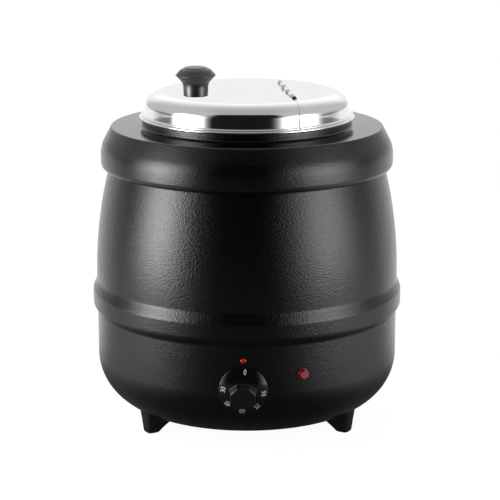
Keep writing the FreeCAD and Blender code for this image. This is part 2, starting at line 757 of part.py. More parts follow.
def lid_knob():
    foot_z = LID_TOP + WASHER_THICKNESS
    knob = turned([
        corner(0, foot_z),
        corner(KNOB_BASE_R, foot_z, KNOB_FOOT_BEND),
        corner(KNOB_NECK_R, foot_z + KNOB_NECK_HEIGHT, KNOB_NECK_BEND),
        corner(KNOB_CAP_R, foot_z + KNOB_CAP_HEIGHT, KNOB_EDGE_BEND),
        corner(KNOB_SHOULDER_R, foot_z + KNOB_SHOULDER_HEIGHT, KNOB_SHOULDER_BEND),
        corner(KNOB_CROWN_R, foot_z + KNOB_HEIGHT, KNOB_CROWN_BEND),
        corner(0, foot_z + KNOB_HEIGHT - KNOB_DISH),
    ])
    bore_end = LID_TOP + KNOB_SCREW_DEPTH + STUD_TAIL
    bore = disc(KNOB_SCREW_R + THREAD_FIT, foot_z - CUT_PAST, bore_end)
    return on_lid(knob_place(knob.cut(bore)))


def knob_washer():
    ring = washer(WASHER_R, KNOB_SCREW_R + HOLE_FIT, LID_TOP, LID_TOP + WASHER_THICKNESS)
    return on_lid(knob_place(ring))


def knob_screw():
    under = LID_TOP - LID_WALL
    length = LID_WALL + KNOB_SCREW_DEPTH
    screw = pan_screw(KNOB_SCREW_R, KNOB_SCREW_HEAD_R, KNOB_SCREW_HEAD, under, length)
    return on_lid(knob_place(screw))


# Thermostat and dial. Their pieces are drawn with +Z out of the shell and +Y up.
def grip_outline(height, tip_draft, side_draft):
    tip = GRIP_TIP_REACH - tip_draft
    half = GRIP_HALF - side_draft
    right = [
        (GRIP_TIP_HALF, tip),
        (half, GRIP_SHOULDER_REACH - tip_draft),
        (half, GRIP_CHEEK_REACH),
        (GRIP_TAIL_HALF - side_draft / 2, GRIP_TAIL_REACH + side_draft),
    ]
    left = [(-x, y) for x, y in right[::-1]]
    points = [Vector(x, y, height) for x, y in right + left]
    return Part.makePolygon(points + points[:1])


def spindle_section(radius, bottom, top):
    """A round bar with one flat on its upper side."""
    bar = disc(radius, bottom, top)
    flat = block(4 * radius, radius, top - bottom, 0, radius * 1.5 - SPINDLE_FLAT, bottom)
    return bar.cut(flat)


def control_dial():
    front_r = DIAL_R - DIAL_TAPER
    inside_r = DIAL_R - DIAL_WALL
    cavity_top = DIAL_SKIRT - DIAL_WALL
    skirt = turned([
        corner(DIAL_BOSS_R, 0),
        corner(DIAL_BOSS_R, cavity_top),
        corner(inside_r, cavity_top, DIAL_INSIDE_BEND),
        corner(inside_r, 0),
        corner(DIAL_R, 0),
        corner(front_r, DIAL_SKIRT, DIAL_EDGE_ROUND),
        corner(0, DIAL_SKIRT),
        corner(0, 0),
    ])
    base = grip_outline(DIAL_SKIRT, 0, 0)
    face = grip_outline(DIAL_SKIRT + GRIP_HEIGHT, GRIP_TIP_DRAFT, GRIP_SIDE_DRAFT)
    grip = Part.makeLoft([base, face], True, True)
    grip_edges = [edge for edge in grip.Edges if edge.CenterOfMass.z > DIAL_SKIRT + GRIP_EDGE_ROUND]
    grip = grip.makeFillet(GRIP_EDGE_ROUND, grip_edges)
    bore = spindle_section(SPINDLE_R + RUNNING_FIT, -CUT_PAST, SPINDLE_IN_DIAL + RUNNING_FIT)
    return outwards(skirt.fuse(grip).cut(bore), DIAL_BACK, DIAL_Z)


def thermostat_spindle():
    """Turns with the dial: its round inner end runs in the thermostat's bush."""
    bush_end = BRACKET_FRONT - BRACKET_WALL + BUSH_LENGTH
    round_end = BRACKET_FRONT - BRACKET_WALL - SPINDLE_IN_BODY
    round_part = outwards(disc(SPINDLE_R, round_end, bush_end), 0, DIAL_Z)
    flat_part = outwards(spindle_section(SPINDLE_R, bush_end, DIAL_BACK + SPINDLE_IN_DIAL), 0, DIAL_Z)
    return round_part.fuse(flat_part)


def thermostat_bracket():
    back = BRACKET_FRONT - BRACKET_WALL
    plate = block(2 * LOWER_R, BRACKET_WALL, BRACKET_HEIGHT, 0, -back - BRACKET_WALL / 2, BRACKET_BOTTOM)
    plate = plate.common(shell_core(SHELL_WALL + SEAT_GAP))
    return plate.cut(outwards(disc(BUSH_R + HOLE_FIT, back - CUT_PAST, BRACKET_FRONT + CUT_PAST), 0, DIAL_Z))


def push_on_tab(x, y, bottom, length=TAB_LENGTH):
    return block(TAB_WIDTH, TAB_THICKNESS, length, x, y, bottom)


def thermostat_tab_places():
    """Places under the thermostat's body where its two tabs point down."""
    middle_y = -(BRACKET_FRONT - BRACKET_WALL - THERMOSTAT_DEPTH / 2)
    return [Vector(side * THERMOSTAT_WIDTH / 4, middle_y, DIAL_Z - THERMOSTAT_HEIGHT / 2) for side in (-1, 1)]


def thermostat_body():
    back = BRACKET_FRONT - BRACKET_WALL
    case = block(THERMOSTAT_WIDTH, THERMOSTAT_DEPTH, THERMOSTAT_HEIGHT,
                 0, -back + THERMOSTAT_DEPTH / 2, DIAL_Z - THERMOSTAT_HEIGHT / 2)
    free_edges = [edge for edge in case.Edges if abs(edge.CenterOfMass.y + back) > SEAT_GAP]
    case = case.makeFillet(THERMOSTAT_ROUND, free_edges)
    bush = outwards(disc(BUSH_R, back, back + BUSH_LENGTH), 0, DIAL_Z)
    tabs = [push_on_tab(place.x, place.y, place.z - TAB_LENGTH) for place in thermostat_tab_places()]
    bore = outwards(disc(SPINDLE_R + RUNNING_FIT, back - SPINDLE_IN_BODY - RUNNING_FIT, DIAL_BACK), 0, DIAL_Z)
    return case.fuse([bush] + tabs).cut(bore)


def thermostat_nut():
    ring = washer(BUSH_NUT_R, BUSH_R + THREAD_FIT, BRACKET_FRONT, BRACKET_FRONT + BUSH_NUT_THICKNESS)
    return outwards(ring, 0, DIAL_Z)


# Sensor on the tank's wall
def bulb_axis():
    radius = TANK_R + TANK_WALL + BULB_R + SEAT_GAP
    angle = math.radians(BULB_AZIMUTH)
    return Vector(radius * math.sin(angle), -radius * math.cos(angle), 0)


def sensor_bulb():
    axis = bulb_axis()
    bulb = turned([
        corner(0, BULB_FOOT_Z),
        corner(BULB_R, BULB_FOOT_Z, BULB_END_BEND),
        corner(BULB_R, BULB_FOOT_Z + BULB_LENGTH, BULB_END_BEND),
        corner(0, BULB_FOOT_Z + BULB_LENGTH),
    ])
    return at(bulb, axis.x, axis.y)


def capillary_tube():
    axis = bulb_axis()
    start = Vector(THERMOSTAT_WIDTH / 2, thermostat_tab_places()[0].y, DIAL_Z - THERMOSTAT_HEIGHT / 4)
    points = [
        start,
        Vector(CAPILLARY_FIRST_X, start.y, start.z),
        Vector(axis.x, CAPILLARY_SECOND_Y, start.z),
        Vector(axis.x, axis.y, start.z),
        Vector(axis.x, axis.y, BULB_FOOT_Z),
    ]
    return round_rod(points, CAPILLARY_R, CAPILLARY_BEND)


def bulb_clip():
    """A strap round the bulb with two wings that are spot welded to the tank."""
    axis = bulb_axis()
    middle = BULB_FOOT_Z + BULB_LENGTH / 2
    low = middle - CLIP_HEIGHT / 2
    top = middle + CLIP_HEIGHT / 2
    tank_outside = TANK_R + TANK_WALL
    strap = at(disc(BULB_R + SEAT_GAP + CLIP_THICKNESS, low, top), 0, -axis.Length)
    wings = washer(tank_outside + SEAT_GAP + CLIP_THICKNESS, tank_outside + SEAT_GAP, low, top)
    wings = wings.common(block(CLIP_WIDTH, LOWER_R, CLIP_HEIGHT, 0, -LOWER_R / 2 - TANK_R / 2, low))
    clip = wings.fuse(strap).cut([
        disc(tank_outside + SEAT_GAP, low - CUT_PAST, top + CUT_PAST),
        at(disc(BULB_R + SEAT_GAP, low - CUT_PAST, top + CUT_PAST), 0, -axis.Length),
    ])
    clip.rotate(Vector(0, 0, 0), UP, BULB_AZIMUTH)
    return clip


# Index stud and indicator lamp, drawn with +Z out of the shell
def index_stud():
    barb_top = -SHELL_WALL - HOLE_FIT
    barb_foot = barb_top - STUD_BARB
    end = barb_foot - STUD_BARB
    stud = turned([
        corner(0, end),
        corner(STUD_SHANK_R, end),
        corner(STUD_BARB_R, barb_foot),
        corner(STUD_BARB_R, barb_top),
        corner(STUD_SHANK_R, barb_top),
        corner(STUD_SHANK_R, SEAT_GAP),
        corner(STUD_R, SEAT_GAP),
        corner(STUD_R, STUD_PROUD, STUD_PROUD * STUD_DOME_SHARE),
        corner(0, STUD_PROUD),
    ])
    return outwards(stud, LOWER_R, STUD_Z)


def indicator_lens():
    """A flanged lens whose seat follows the shell, with a shank through the shell into the holder."""
    head = turned([
        corner(0, -SHELL_WALL),
        corner(LENS_FLANGE_R, -SHELL_WALL),
        corner(LENS_FLANGE_R, LENS_FLANGE, LENS_FLANGE_ROUND),
        corner(LENS_FLANGE_R - LENS_LEDGE, LENS_FLANGE),
        corner(LENS_END_R, LENS_PROUD, LENS_END_ROUND),
        corner(0, LENS_PROUD),
    ])
    head = outwards(head, LOWER_R, LAMP_Z, LAMP_AZIMUTH).cut(shell_core(-SEAT_GAP))
    shank = outwards(disc(LENS_SHANK_R, -LAMP_HOLDER_R, LENS_FLANGE / 2), LOWER_R, LAMP_Z, LAMP_AZIMUTH)
    return head.fuse(shank).removeSplitter()


def lamp_tab_places():
    """Inner ends of the lamp's two tabs, in the holder's own drawing position."""
    end = -LAMP_HOLDER_R - LAMP_HOLDER_LENGTH
    return [Vector(side * CUTOUT_TAB_SPACING / 2, 0, end) for side in (-1, 1)]


def indicator_body():
    front = -LAMP_HOLDER_R
    holder = disc(LAMP_HOLDER_R, front - LAMP_HOLDER_LENGTH, front)
    tabs = [block(TAB_THICKNESS, TAB_WIDTH / 2, TAB_LENGTH / 2, place.x, place.y, place.z - TAB_LENGTH / 2)
            for place in lamp_tab_places()]
    return outwards(holder.fuse(tabs), LOWER_R, LAMP_Z, LAMP_AZIMUTH)


def indicator_clip():
    back = -SHELL_WALL - LAMP_CLIP - HOLE_FIT
    ring = washer(LAMP_CLIP_R, LENS_SHANK_R + SEAT_GAP, back - HOLE_FIT, back + LAMP_CLIP)
    placed = outwards(ring, LOWER_R, LAMP_Z, LAMP_AZIMUTH)
    return placed.common(shell_core(SHELL_WALL + SEAT_GAP))


# Heater
def element_leg_places():
    """Axes of the element's two legs near the rear."""
    angle = math.radians(ELEMENT_OPENING)
    x = ELEMENT_R * math.sin(angle) - ELEMENT_BEND * math.cos(angle)
    y = ELEMENT_R * math.cos(angle) + ELEMENT_BEND * math.sin(angle)
    return [Vector(side * x, y, 0) for side in (-1, 1)]


def heating_element():
    angle = math.radians(ELEMENT_OPENING)
    left, right = element_leg_places()
    quarter = math.sqrt(0.5)
    edges = []
    ring_ends = []
    for side, leg in ((-1, left), (1, right)):
        ring_end = Vector(side * ELEMENT_R * math.sin(angle), ELEMENT_R * math.cos(angle), ELEMENT_Z)
        leg_top = Vector(leg.x, leg.y, ELEMENT_Z - ELEMENT_BEND)
        outward = Vector(ring_end.x - leg.x, ring_end.y - leg.y, 0)
        middle = leg_top + outward * (1 - quarter) + UP * (ELEMENT_BEND * quarter)
        bend = Part.Arc(leg_top, middle, ring_end).toShape()
        leg_line = Part.LineSegment(Vector(leg.x, leg.y, ELEMENT_LEG_END), leg_top).toShape()
        edges.append([leg_line, bend])
        ring_ends.append(ring_end)
    ring = Part.Arc(ring_ends[0], Vector(0, -ELEMENT_R, ELEMENT_Z), ring_ends[1]).toShape()
    path = Part.Wire(edges[0] + [ring] + edges[1][::-1])
    profile = Part.Wire(Part.makeCircle(ELEMENT_TUBE_R, Vector(left.x, left.y, ELEMENT_LEG_END), UP))
    tube = path.makePipeShell([profile], True, False)
    pins = [at(disc(ELEMENT_PIN_R, ELEMENT_LEG_END - ELEMENT_PIN, ELEMENT_LEG_END), leg.x, leg.y)
            for leg in (left, right)]
    return tube.fuse(pins)


def element_clamp():
    plate = disc(CLAMP_R, CLAMP_UNDERSIDE, CLAMP_TOP)
    notch = block(2 * CLAMP_NOTCH_HALF, CLAMP_R, 4 * CLAMP_WALL,
                  0, ELEMENT_R - CLAMP_NOTCH_HALF + CLAMP_R / 2, CLAMP_UNDERSIDE - CLAMP_WALL)
    stud_hole = disc(CLAMP_STUD_R + HOLE_FIT, CLAMP_UNDERSIDE - CUT_PAST, CLAMP_TOP + CUT_PAST)
    window = disc(CLAMP_WINDOW_R, CLAMP_UNDERSIDE - CUT_PAST, CLAMP_TOP + CUT_PAST)
    return plate.cut([notch, stud_hole, at(window, 0, CUTOUT_Y)])


def clamp_stud():
    return disc(CLAMP_STUD_R, CLAMP_STUD_END, TANK_UNDERSIDE)


def clamp_nuts():
    bore = CLAMP_STUD_R + THREAD_FIT
    upper = hex_nut(CLAMP_NUT_FLATS, CLAMP_NUT_THICKNESS, bore, CLAMP_UNDERSIDE)
    lower = hex_nut(CLAMP_NUT_FLATS, CLAMP_NUT_THICKNESS, bore, REFLECTOR_Z - REFLECTOR_WALL)
    return Part.makeCompound([upper, lower])


def reflector_spacer():
    return washer(SPACER_R, CLAMP_STUD_R + HOLE_FIT, REFLECTOR_Z, CLAMP_UNDERSIDE - CLAMP_NUT_THICKNESS)


def heat_reflector():
    dish = turned_sheet([
        corner(REFLECTOR_R + REFLECTOR_RIM / 2, REFLECTOR_Z + REFLECTOR_RIM),
        corner(REFLECTOR_R, REFLECTOR_Z, REFLECTOR_BEND),
        corner(0, REFLECTOR_Z),
    ], -REFLECTOR_WALL)
    low = REFLECTOR_Z - 2 * REFLECTOR_WALL
    high = REFLECTOR_Z + CUT_PAST
    holes = [at(disc(LEG_HOLE_R, low, high), leg.x, leg.y) for leg in element_leg_places()]
    holes.append(disc(CLAMP_STUD_R + HOLE_FIT, low, high))
    holes.append(at(disc(CUTOUT_TAB_SPACING, low, high), 0, CUTOUT_Y))
    return dish.cut(holes)


def cutout_tab_places():
    low = TANK_UNDERSIDE - CUTOUT_HEIGHT - CUTOUT_BASE - TAB_LENGTH / 2
    return [Vector(side * CUTOUT_TAB_SPACING / 2, CUTOUT_Y, low) for side in (-1, 1)]


def thermal_cutout():
    cap_bottom = TANK_UNDERSIDE - CUTOUT_HEIGHT
    cap = disc(CUTOUT_R, cap_bottom, TANK_UNDERSIDE)
    base = disc(CUTOUT_BASE_R, cap_bottom - CUTOUT_BASE, cap_bottom)
    shape = at(cap.fuse(base), 0, CUTOUT_Y)
    tabs = [block(TAB_THICKNESS, TAB_WIDTH / 2, TAB_LENGTH / 2, place.x, place.y, place.z)
            for place in cutout_tab_places()]
    return shape.fuse(tabs)


def cutout_clip():
    """A sprung strap under the cut-out's cap, its two feet spot welded to the tank's floor."""
    cap_bottom = TANK_UNDERSIDE - CUTOUT_HEIGHT
    leg_x = CUTOUT_CLIP_LENGTH / 2 - CUTOUT_CLIP_WIDTH / 2
    strap = block(2 * leg_x, CUTOUT_CLIP_WIDTH, CLIP_THICKNESS, 0, CUTOUT_Y, cap_bottom - CLIP_THICKNESS)
    parts = []
    for side in (-1, 1):
        leg = block(CLIP_THICKNESS, CUTOUT_CLIP_WIDTH, CUTOUT_HEIGHT + CLIP_THICKNESS,
                    side * (leg_x - CLIP_THICKNESS / 2), CUTOUT_Y, cap_bottom - CLIP_THICKNESS)
        toe = block(CUTOUT_CLIP_WIDTH / 2, CUTOUT_CLIP_WIDTH, CLIP_THICKNESS,
                    side * (leg_x + CUTOUT_CLIP_WIDTH / 4), CUTOUT_Y, TANK_UNDERSIDE - CLIP_THICKNESS)
        parts += [leg, toe]
    ring = disc(CUTOUT_R, cap_bottom - CLIP_THICKNESS, cap_bottom)
    hole = disc(CUTOUT_BASE_R + SEAT_GAP, cap_bottom - CLIP_THICKNESS - CUT_PAST, cap_bottom + CUT_PAST)
    clip = strap.fuse(parts + [at(ring, 0, CUTOUT_Y)])
    return clip.cut(at(hole, 0, CUTOUT_Y)).removeSplitter()


# Terminals, inlet and wiring
def terminal_pole_places():
    pitch = TERMINAL_LENGTH / TERMINAL_POLES
    return [Vector(TERMINAL_X + (i - (TERMINAL_POLES - 1) / 2) * pitch, TERMINAL_Y, BASE_TOP)
            for i in range(TERMINAL_POLES)]


def terminal_block():
    body = block(TERMINAL_LENGTH, TERMINAL_WIDTH, TERMINAL_HEIGHT, TERMINAL_X, TERMINAL_Y, BASE_TOP)
    top = BASE_TOP + TERMINAL_HEIGHT
    pitch = TERMINAL_LENGTH / TERMINAL_POLES
    well = disc(TERMINAL_SCREW_R + HOLE_FIT, top - TERMINAL_SCREW_DEPTH, top + CUT_PAST)
    groove = block(TERMINAL_GROOVE_WIDTH, TERMINAL_WIDTH + 2 * CUT_PAST, TERMINAL_GROOVE_DEPTH,
                   TERMINAL_X, TERMINAL_Y, top - TERMINAL_GROOVE_DEPTH)
    wells = [at(well, place.x, place.y) for place in terminal_pole_places()]
    return body.cut(wells + [at(groove, -pitch / 2, 0), at(groove, pitch / 2, 0)])


def terminal_screws():
    top = BASE_TOP + TERMINAL_HEIGHT
    head_top = top - TERMINAL_SCREW_SINK
    slot = block(3 * TERMINAL_SCREW_R, SCREW_SLOT_WIDTH, SCREW_SLOT_DEPTH, 0, 0, head_top - SCREW_SLOT_DEPTH)
    screw = disc(TERMINAL_SCREW_R, top - TERMINAL_SCREW_DEPTH, head_top).cut(slot)
    return Part.makeCompound([at(screw, place.x, place.y) for place in terminal_pole_places()])


def earth_stud():
    stud = disc(SCREW_R, BASE_TOP, BASE_TOP + EARTH_STUD)
    return at(stud, EARTH_X, EARTH_Y)


def earth_nut():
    nut = hex_nut(NUT_FLATS, NUT_THICKNESS, SCREW_R + THREAD_FIT, BASE_TOP + NUT_THICKNESS)
    return at(nut, EARTH_X, EARTH_Y)


def at_inlet(shape):
    return outwards(shape, LOWER_R, INLET_Z, INLET_AZIMUTH)


def cord_bush():
    inner = -SHELL_WALL - INLET_COLLAR
    flange = turned([
        corner(0, inner),
        corner(INLET_SHANK_R, inner),
        corner(INLET_SHANK_R, -INLET_COLLAR),
        corner(INLET_FLANGE_R, -INLET_COLLAR),
        corner(INLET_FLANGE_R, INLET_PROUD / 2, INLET_FLANGE_ROUND),
        corner(INLET_SHANK_R, INLET_PROUD, INLET_END_ROUND),
        corner(0, INLET_PROUD),
    ])
    end = inner - INLET_COLLAR
    head = at_inlet(flange).cut(shell_core(-SEAT_GAP))
    shank = at_inlet(disc(INLET_SHANK_R, end, 0))
    collar = at_inlet(disc(INLET_COLLAR_R, end, 0)).common(shell_core(SHELL_WALL + SEAT_GAP))
    bore = at_inlet(disc(INLET_BORE_R, end - CUT_PAST, INLET_PROUD + CUT_PAST))
    return head.fuse([shank, collar]).cut(bore).removeSplitter()


def lead(points):
    return round_rod(points, LEAD_R, LEAD_BEND)


def thermostat_lead(tab):
    """The first runs of a lead: down from the thermostat's tab, then past the tank's corner to the base."""
    tab_end = tab.z - TAB_LENGTH
    return [
        Vector(tab.x, tab.y, tab_end), Vector(tab.x, tab.y, tab_end - TAB_LENGTH),
        Vector(tab.x, -LEAD_DROP_R, LEAD_LEVEL),
    ]


def lead_supply():
    """From the first pole to the thermostat's right tab."""
    tab = thermostat_tab_places()[1]
    pole = terminal_pole_places()[0]
    return lead(thermostat_lead(tab) + [
        Vector(pole.x, -BASE_R / 2, LEAD_LEVEL), Vector(pole.x, pole.y - TERMINAL_WIDTH / 2, LEAD_LEVEL),
    ])


def lead_cutout():
    """From the thermostat's left tab to the cut-out."""
    tab = thermostat_tab_places()[0]
    end = cutout_tab_places()[1]
    return lead(thermostat_lead(tab) + [Vector(end.x, end.y, LEAD_LEVEL), end])


def lead_element():
    """From the cut-out past the clamp stud to the element's left pin."""
    start = cutout_tab_places()[0]
    leg = element_leg_places()[0]
    level = ELEMENT_LEG_END - ELEMENT_PIN / 2
    return lead([
        start, Vector(start.x, start.y, level), Vector(leg.x - LEAD_BEND, 0, level),
        Vector(leg.x, leg.y / 2, level), Vector(leg.x, leg.y - ELEMENT_PIN_R, level),
    ])


def lead_neutral():
    """From the element's right pin to the first pole."""
    leg = element_leg_places()[1]
    pole = terminal_pole_places()[0]
    level = ELEMENT_LEG_END - ELEMENT_PIN / 2
    pole_back = pole.y + TERMINAL_WIDTH / 2
    return lead([
        Vector(leg.x + ELEMENT_PIN_R, leg.y, level), Vector((leg.x + 2 * pole.x) / 3, leg.y, level),
        Vector(pole.x, (leg.y + pole_back) / 2, LEAD_LEVEL), Vector(pole.x, pole_back, LEAD_LEVEL),
    ])


def lamp_leads():
    """Two wires from the lamp's tabs, down past the tank to the other two poles."""
    turn = Rotation(UP, LAMP_AZIMUTH)
    wires = []
    for place, pole in zip(lamp_tab_places(), terminal_pole_places()[1:]):
        tab_end = LOWER_R + place.z - TAB_LENGTH / 2
        wires.append(lead([
            turn.multVec(Vector(place.x, -tab_end, LAMP_Z)),
            turn.multVec(Vector(place.x, -LEAD_DROP_R, LAMP_Z)),
            turn.multVec(Vector(place.x, -LEAD_DROP_R, LEAD_LEVEL)),
            Vector(pole.x, -BASE_R / 2, LEAD_LEVEL),
            Vector(pole.x, pole.y - TERMINAL_WIDTH / 2, LEAD_LEVEL),
        ]))
    return Part.makeCompound(wires)


def main():
    os.makedirs("parts", exist_ok=True)
    nodes = {
        "outer_shell": outer_shell(),
        "top_ring": top_ring(),
        "ring_studs": ring_studs(),
        "ring_nuts": ring_nuts(),
        "tank_seal": tank_seal(),
        "water_tank": water_tank(),
        "inner_pot": inner_pot(),
        "lid_flap": lid_flap(),
        "lid_fixed_part": lid_fixed_part(),
        "hinge_pin": hinge_pin(),
        "hinge_leaf_fixed": hinge_leaf(1, 0),
        "hinge_leaf_flap": hinge_leaf(-1, 1),
        "lid_knob": lid_knob(),
        "knob_washer": knob_washer(),
        "knob_screw": knob_screw(),
        "control_dial": control_dial(),
        "thermostat_spindle": thermostat_spindle(),
        "thermostat_body": thermostat_body(),
        "thermostat_bracket": thermostat_bracket(),
        "thermostat_nut": thermostat_nut(),
        "sensor_bulb": sensor_bulb(),
        "capillary_tube": capillary_tube(),
        "bulb_clip": bulb_clip(),
        "index_stud": index_stud(),
        "indicator_lens": indicator_lens(),
        "indicator_body": indicator_body(),
        "indicator_clip": indicator_clip(),
        "heating_element": heating_element(),
        "element_clamp": element_clamp(),
        "clamp_stud": clamp_stud(),
        "clamp_nuts": clamp_nuts(),
        "reflector_spacer": reflector_spacer(),
        "heat_reflector": heat_reflector(),
        "thermal_cutout": thermal_cutout(),
        "cutout_clip": cutout_clip(),
        "base_plate": base_plate(),
        "base_screws": base_screws(),
        "foot_screws": foot_screws(),
        "foot_nuts": foot_nuts(),
        "terminal_block": terminal_block(),
        "terminal_screws": terminal_screws(),
        "earth_stud": earth_stud(),
        "earth_nut": earth_nut(),
        "cord_bush": cord_bush(),
        "lead_supply": lead_supply(),
        "lead_cutout": lead_cutout(),
        "lead_element": lead_element(),
        "lead_neutral": lead_neutral(),
        "lamp_leads": lamp_leads(),
    }
    nodes.update(feet())
    for name, shape in nodes.items():
        shape.exportStep("parts/" + name + ".step")
        print(name, "solids", len(shape.Solids), "valid", shape.isValid(), "volume", round(shape.Volume, 1))


main()
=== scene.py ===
# %% [markdown]
# # A soup kettle in black and steel
# The kettle is a painted barrel with a water tank inside. A steel pot hangs in the tank by its rim and a
# steel lid in two hinged parts lies on the pot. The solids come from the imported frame, in metres, and the
# pieces that catch the light are worked out again here as fine smooth surfaces in the same place.

# %% Load the frame
import json
import math

import bmesh
import bpy
import numpy as np
from mathutils import Matrix, Vector


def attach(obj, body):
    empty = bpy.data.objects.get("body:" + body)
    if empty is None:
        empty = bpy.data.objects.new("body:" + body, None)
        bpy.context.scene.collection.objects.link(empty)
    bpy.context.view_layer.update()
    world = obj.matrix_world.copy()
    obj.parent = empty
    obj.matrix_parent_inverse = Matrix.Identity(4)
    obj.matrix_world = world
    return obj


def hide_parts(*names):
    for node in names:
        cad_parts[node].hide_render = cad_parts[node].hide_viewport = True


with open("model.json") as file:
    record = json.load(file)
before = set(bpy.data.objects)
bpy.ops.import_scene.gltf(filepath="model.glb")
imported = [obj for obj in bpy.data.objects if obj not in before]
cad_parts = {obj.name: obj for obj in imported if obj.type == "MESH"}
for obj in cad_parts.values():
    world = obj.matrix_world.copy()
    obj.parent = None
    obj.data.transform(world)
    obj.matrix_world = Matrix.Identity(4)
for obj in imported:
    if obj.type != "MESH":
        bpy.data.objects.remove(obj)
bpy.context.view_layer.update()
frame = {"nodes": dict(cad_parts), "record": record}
nodes = frame["nodes"]
MM = 0.001
print("nodes in the frame:", len(nodes))

# %% [markdown]
# ## The camera
# The photograph was taken from about two metres with a long lens, from above the lid and about one degree to
# the right of the dial. Distance and height decide how far the barrel's rings curve in the picture, and the
# lens only decides how large it is, so the place was settled first and the lens after it.

# %% Camera
CAMERA_REACH = 1.900        # metres from the kettle's axis, along the floor
CAMERA_HEIGHT = 0.65616
AIM_HEIGHT = 0.18992        # the picture's middle row meets the axis here
CAMERA_TURN = math.radians(1.3)
SENSOR, LENS = 36.0, 127.22     # millimetres
SHIFT = 0.0061                  # of the picture's width, because the kettle stands left of its middle
FAR_END = 50.0                  # metres
camera_data = bpy.data.cameras.new("camera")
camera_data.sensor_width = SENSOR
camera_data.lens = LENS
camera_data.shift_x = SHIFT
camera = bpy.data.objects.new("camera", camera_data)
bpy.context.scene.collection.objects.link(camera)
camera.location = (
    CAMERA_REACH * math.sin(CAMERA_TURN),
    -CAMERA_REACH * math.cos(CAMERA_TURN),
    CAMERA_HEIGHT,
)
camera_pitch = math.atan2(CAMERA_HEIGHT - AIM_HEIGHT, CAMERA_REACH)
camera.rotation_euler = (math.pi / 2 - camera_pitch, 0.0, CAMERA_TURN)
camera_data.clip_end = FAR_END
bpy.context.scene.camera = camera
print("camera pitch in degrees:", round(math.degrees(camera_pitch), 2))

# %% [markdown]
# ## Tools for shapes
# Most pieces are turned or pressed round the kettle's axis. Their outline is a short list of corners, each
# with its bend radius, and the surface is that outline carried round a circle. All points are computed as
# one array.


# %% Outlines with bends
def rounded(corners, closed=True, step=math.radians(4)):
    """Line through (radius, height, bend) corners: straight runs, and at each corner the arc of the bend
    radius that is tangent to both runs. An arc's points are spread evenly by spherical interpolation
    between its two end directions."""
    count = len(corners)
    runs = []
    for i, (r, z, bend) in enumerate(corners):
        point = np.array((r, z), float)
        if bend == 0 or (not closed and i in (0, count - 1)):
            runs.append(point[None])
            continue
        back = np.array(corners[i - 1][:2]) - point
        ahead = np.array(corners[(i + 1) % count][:2]) - point
        back /= np.linalg.norm(back)
        ahead /= np.linalg.norm(ahead)
        half = math.acos(float(np.clip(back @ ahead, -1, 1))) / 2
        middle = (back + ahead) / np.linalg.norm(back + ahead)
        centre = point + middle * bend / math.sin(half)
        first = (point + back * bend / math.tan(half) - centre) / bend
        last = (point + ahead * bend / math.tan(half) - centre) / bend
        sweep = math.pi - 2 * half
        t = np.linspace(0, 1, max(4, math.ceil(sweep / step) + 1))[:, None]
        arc = (np.sin((1 - t) * sweep) * first + np.sin(t * sweep) * last) / math.sin(sweep)
        runs.append(centre + bend * arc)
    return np.vstack(runs)


def set_over(corners, distance):
    """The same corners moved to the right of the line's direction, with bends grown or shrunk to match."""
    points = np.array([c[:2] for c in corners], float)
    ways = np.diff(points, axis=0)
    ways /= np.linalg.norm(ways, axis=1)[:, None]
    sides = np.stack((ways[:, 1], -ways[:, 0]), 1)
    moved = [(*(points[0] + sides[0] * distance), 0.0)]
    for i in range(1, len(points) - 1):
        turn = ways[i - 1, 0] * ways[i, 1] - ways[i - 1, 1] * ways[i, 0]
        middle = (sides[i - 1] + sides[i]) / np.linalg.norm(sides[i - 1] + sides[i])
        bend = corners[i][2]
        grown = bend + distance * math.copysign(1, turn) if bend > 0 else 0.0
        moved.append((*(points[i] + middle * distance / (middle @ sides[i])), grown))
    moved.append((*(points[-1] + sides[-1] * distance), 0.0))
    return moved


print("outline tools ready")


# %% From a grid of points to a piece
MERGE, SLIVER = 2e-6, 1e-7      # metres: closer points are one point, and shorter edges are taken out


def grid_faces(rows, columns, wrap_rows=False, wrap_columns=False, first=0):
    """Quads between neighbouring points of a grid, as one array of four indices per quad."""
    i = np.arange(rows if wrap_rows else rows - 1)
    j = np.arange(columns if wrap_columns else columns - 1)
    i, j = np.meshgrid(i, j, indexing="ij")
    below = (i + 1) % rows
    beside = (j + 1) % columns
    quads = (i * columns + j, i * columns + beside, below * columns + beside, below * columns + j)
    return first + np.stack(quads, -1).reshape(-1, 4)


def piece(name, points, faces, body, material, replaced=(), place=None, sharp=28, solid=True):
    """A mesh object from points in millimetres: doubles merged, faces turned outwards, shading smooth
    apart from edges sharper than the angle. It rides on a body and stands for the replaced nodes."""
    points = np.asarray(points, float).reshape(-1, 3) * MM
    if place is not None:
        turn = np.array(place.to_3x3())
        points = points @ turn.T + np.array(place.translation)
    mesh = bpy.data.meshes.new(name)
    mesh.from_pydata(points.tolist(), [], [list(map(int, face)) for face in faces])
    work = bmesh.new()
    work.from_mesh(mesh)
    bmesh.ops.remove_doubles(work, verts=work.verts, dist=MERGE)
    bmesh.ops.dissolve_degenerate(work, edges=work.edges, dist=SLIVER)
    if solid:
        bmesh.ops.recalc_face_normals(work, faces=work.faces)
    work.to_mesh(mesh)
    work.free()
    mesh.shade_smooth()
    mesh.set_sharp_from_angle(angle=math.radians(sharp))
    mesh.materials.append(material)
    made = bpy.data.objects.new(name, mesh)
    bpy.context.scene.collection.objects.link(made)
    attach(made, body)
    if replaced:
        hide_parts(*replaced)
    print(name, "faces:", len(mesh.polygons))
    return made


def spun_points(line, steps):
    """Surface of revolution: each outline point (r, z) at the angles a is (r cos a, r sin a, z)."""
    a = np.linspace(0, 2 * math.pi, steps, endpoint=False)[:, None]
    r, z = line[None, :, 0], line[None, :, 1]
    return np.stack((r * np.cos(a), r * np.sin(a), np.broadcast_to(z, (steps, len(line)))), -1)


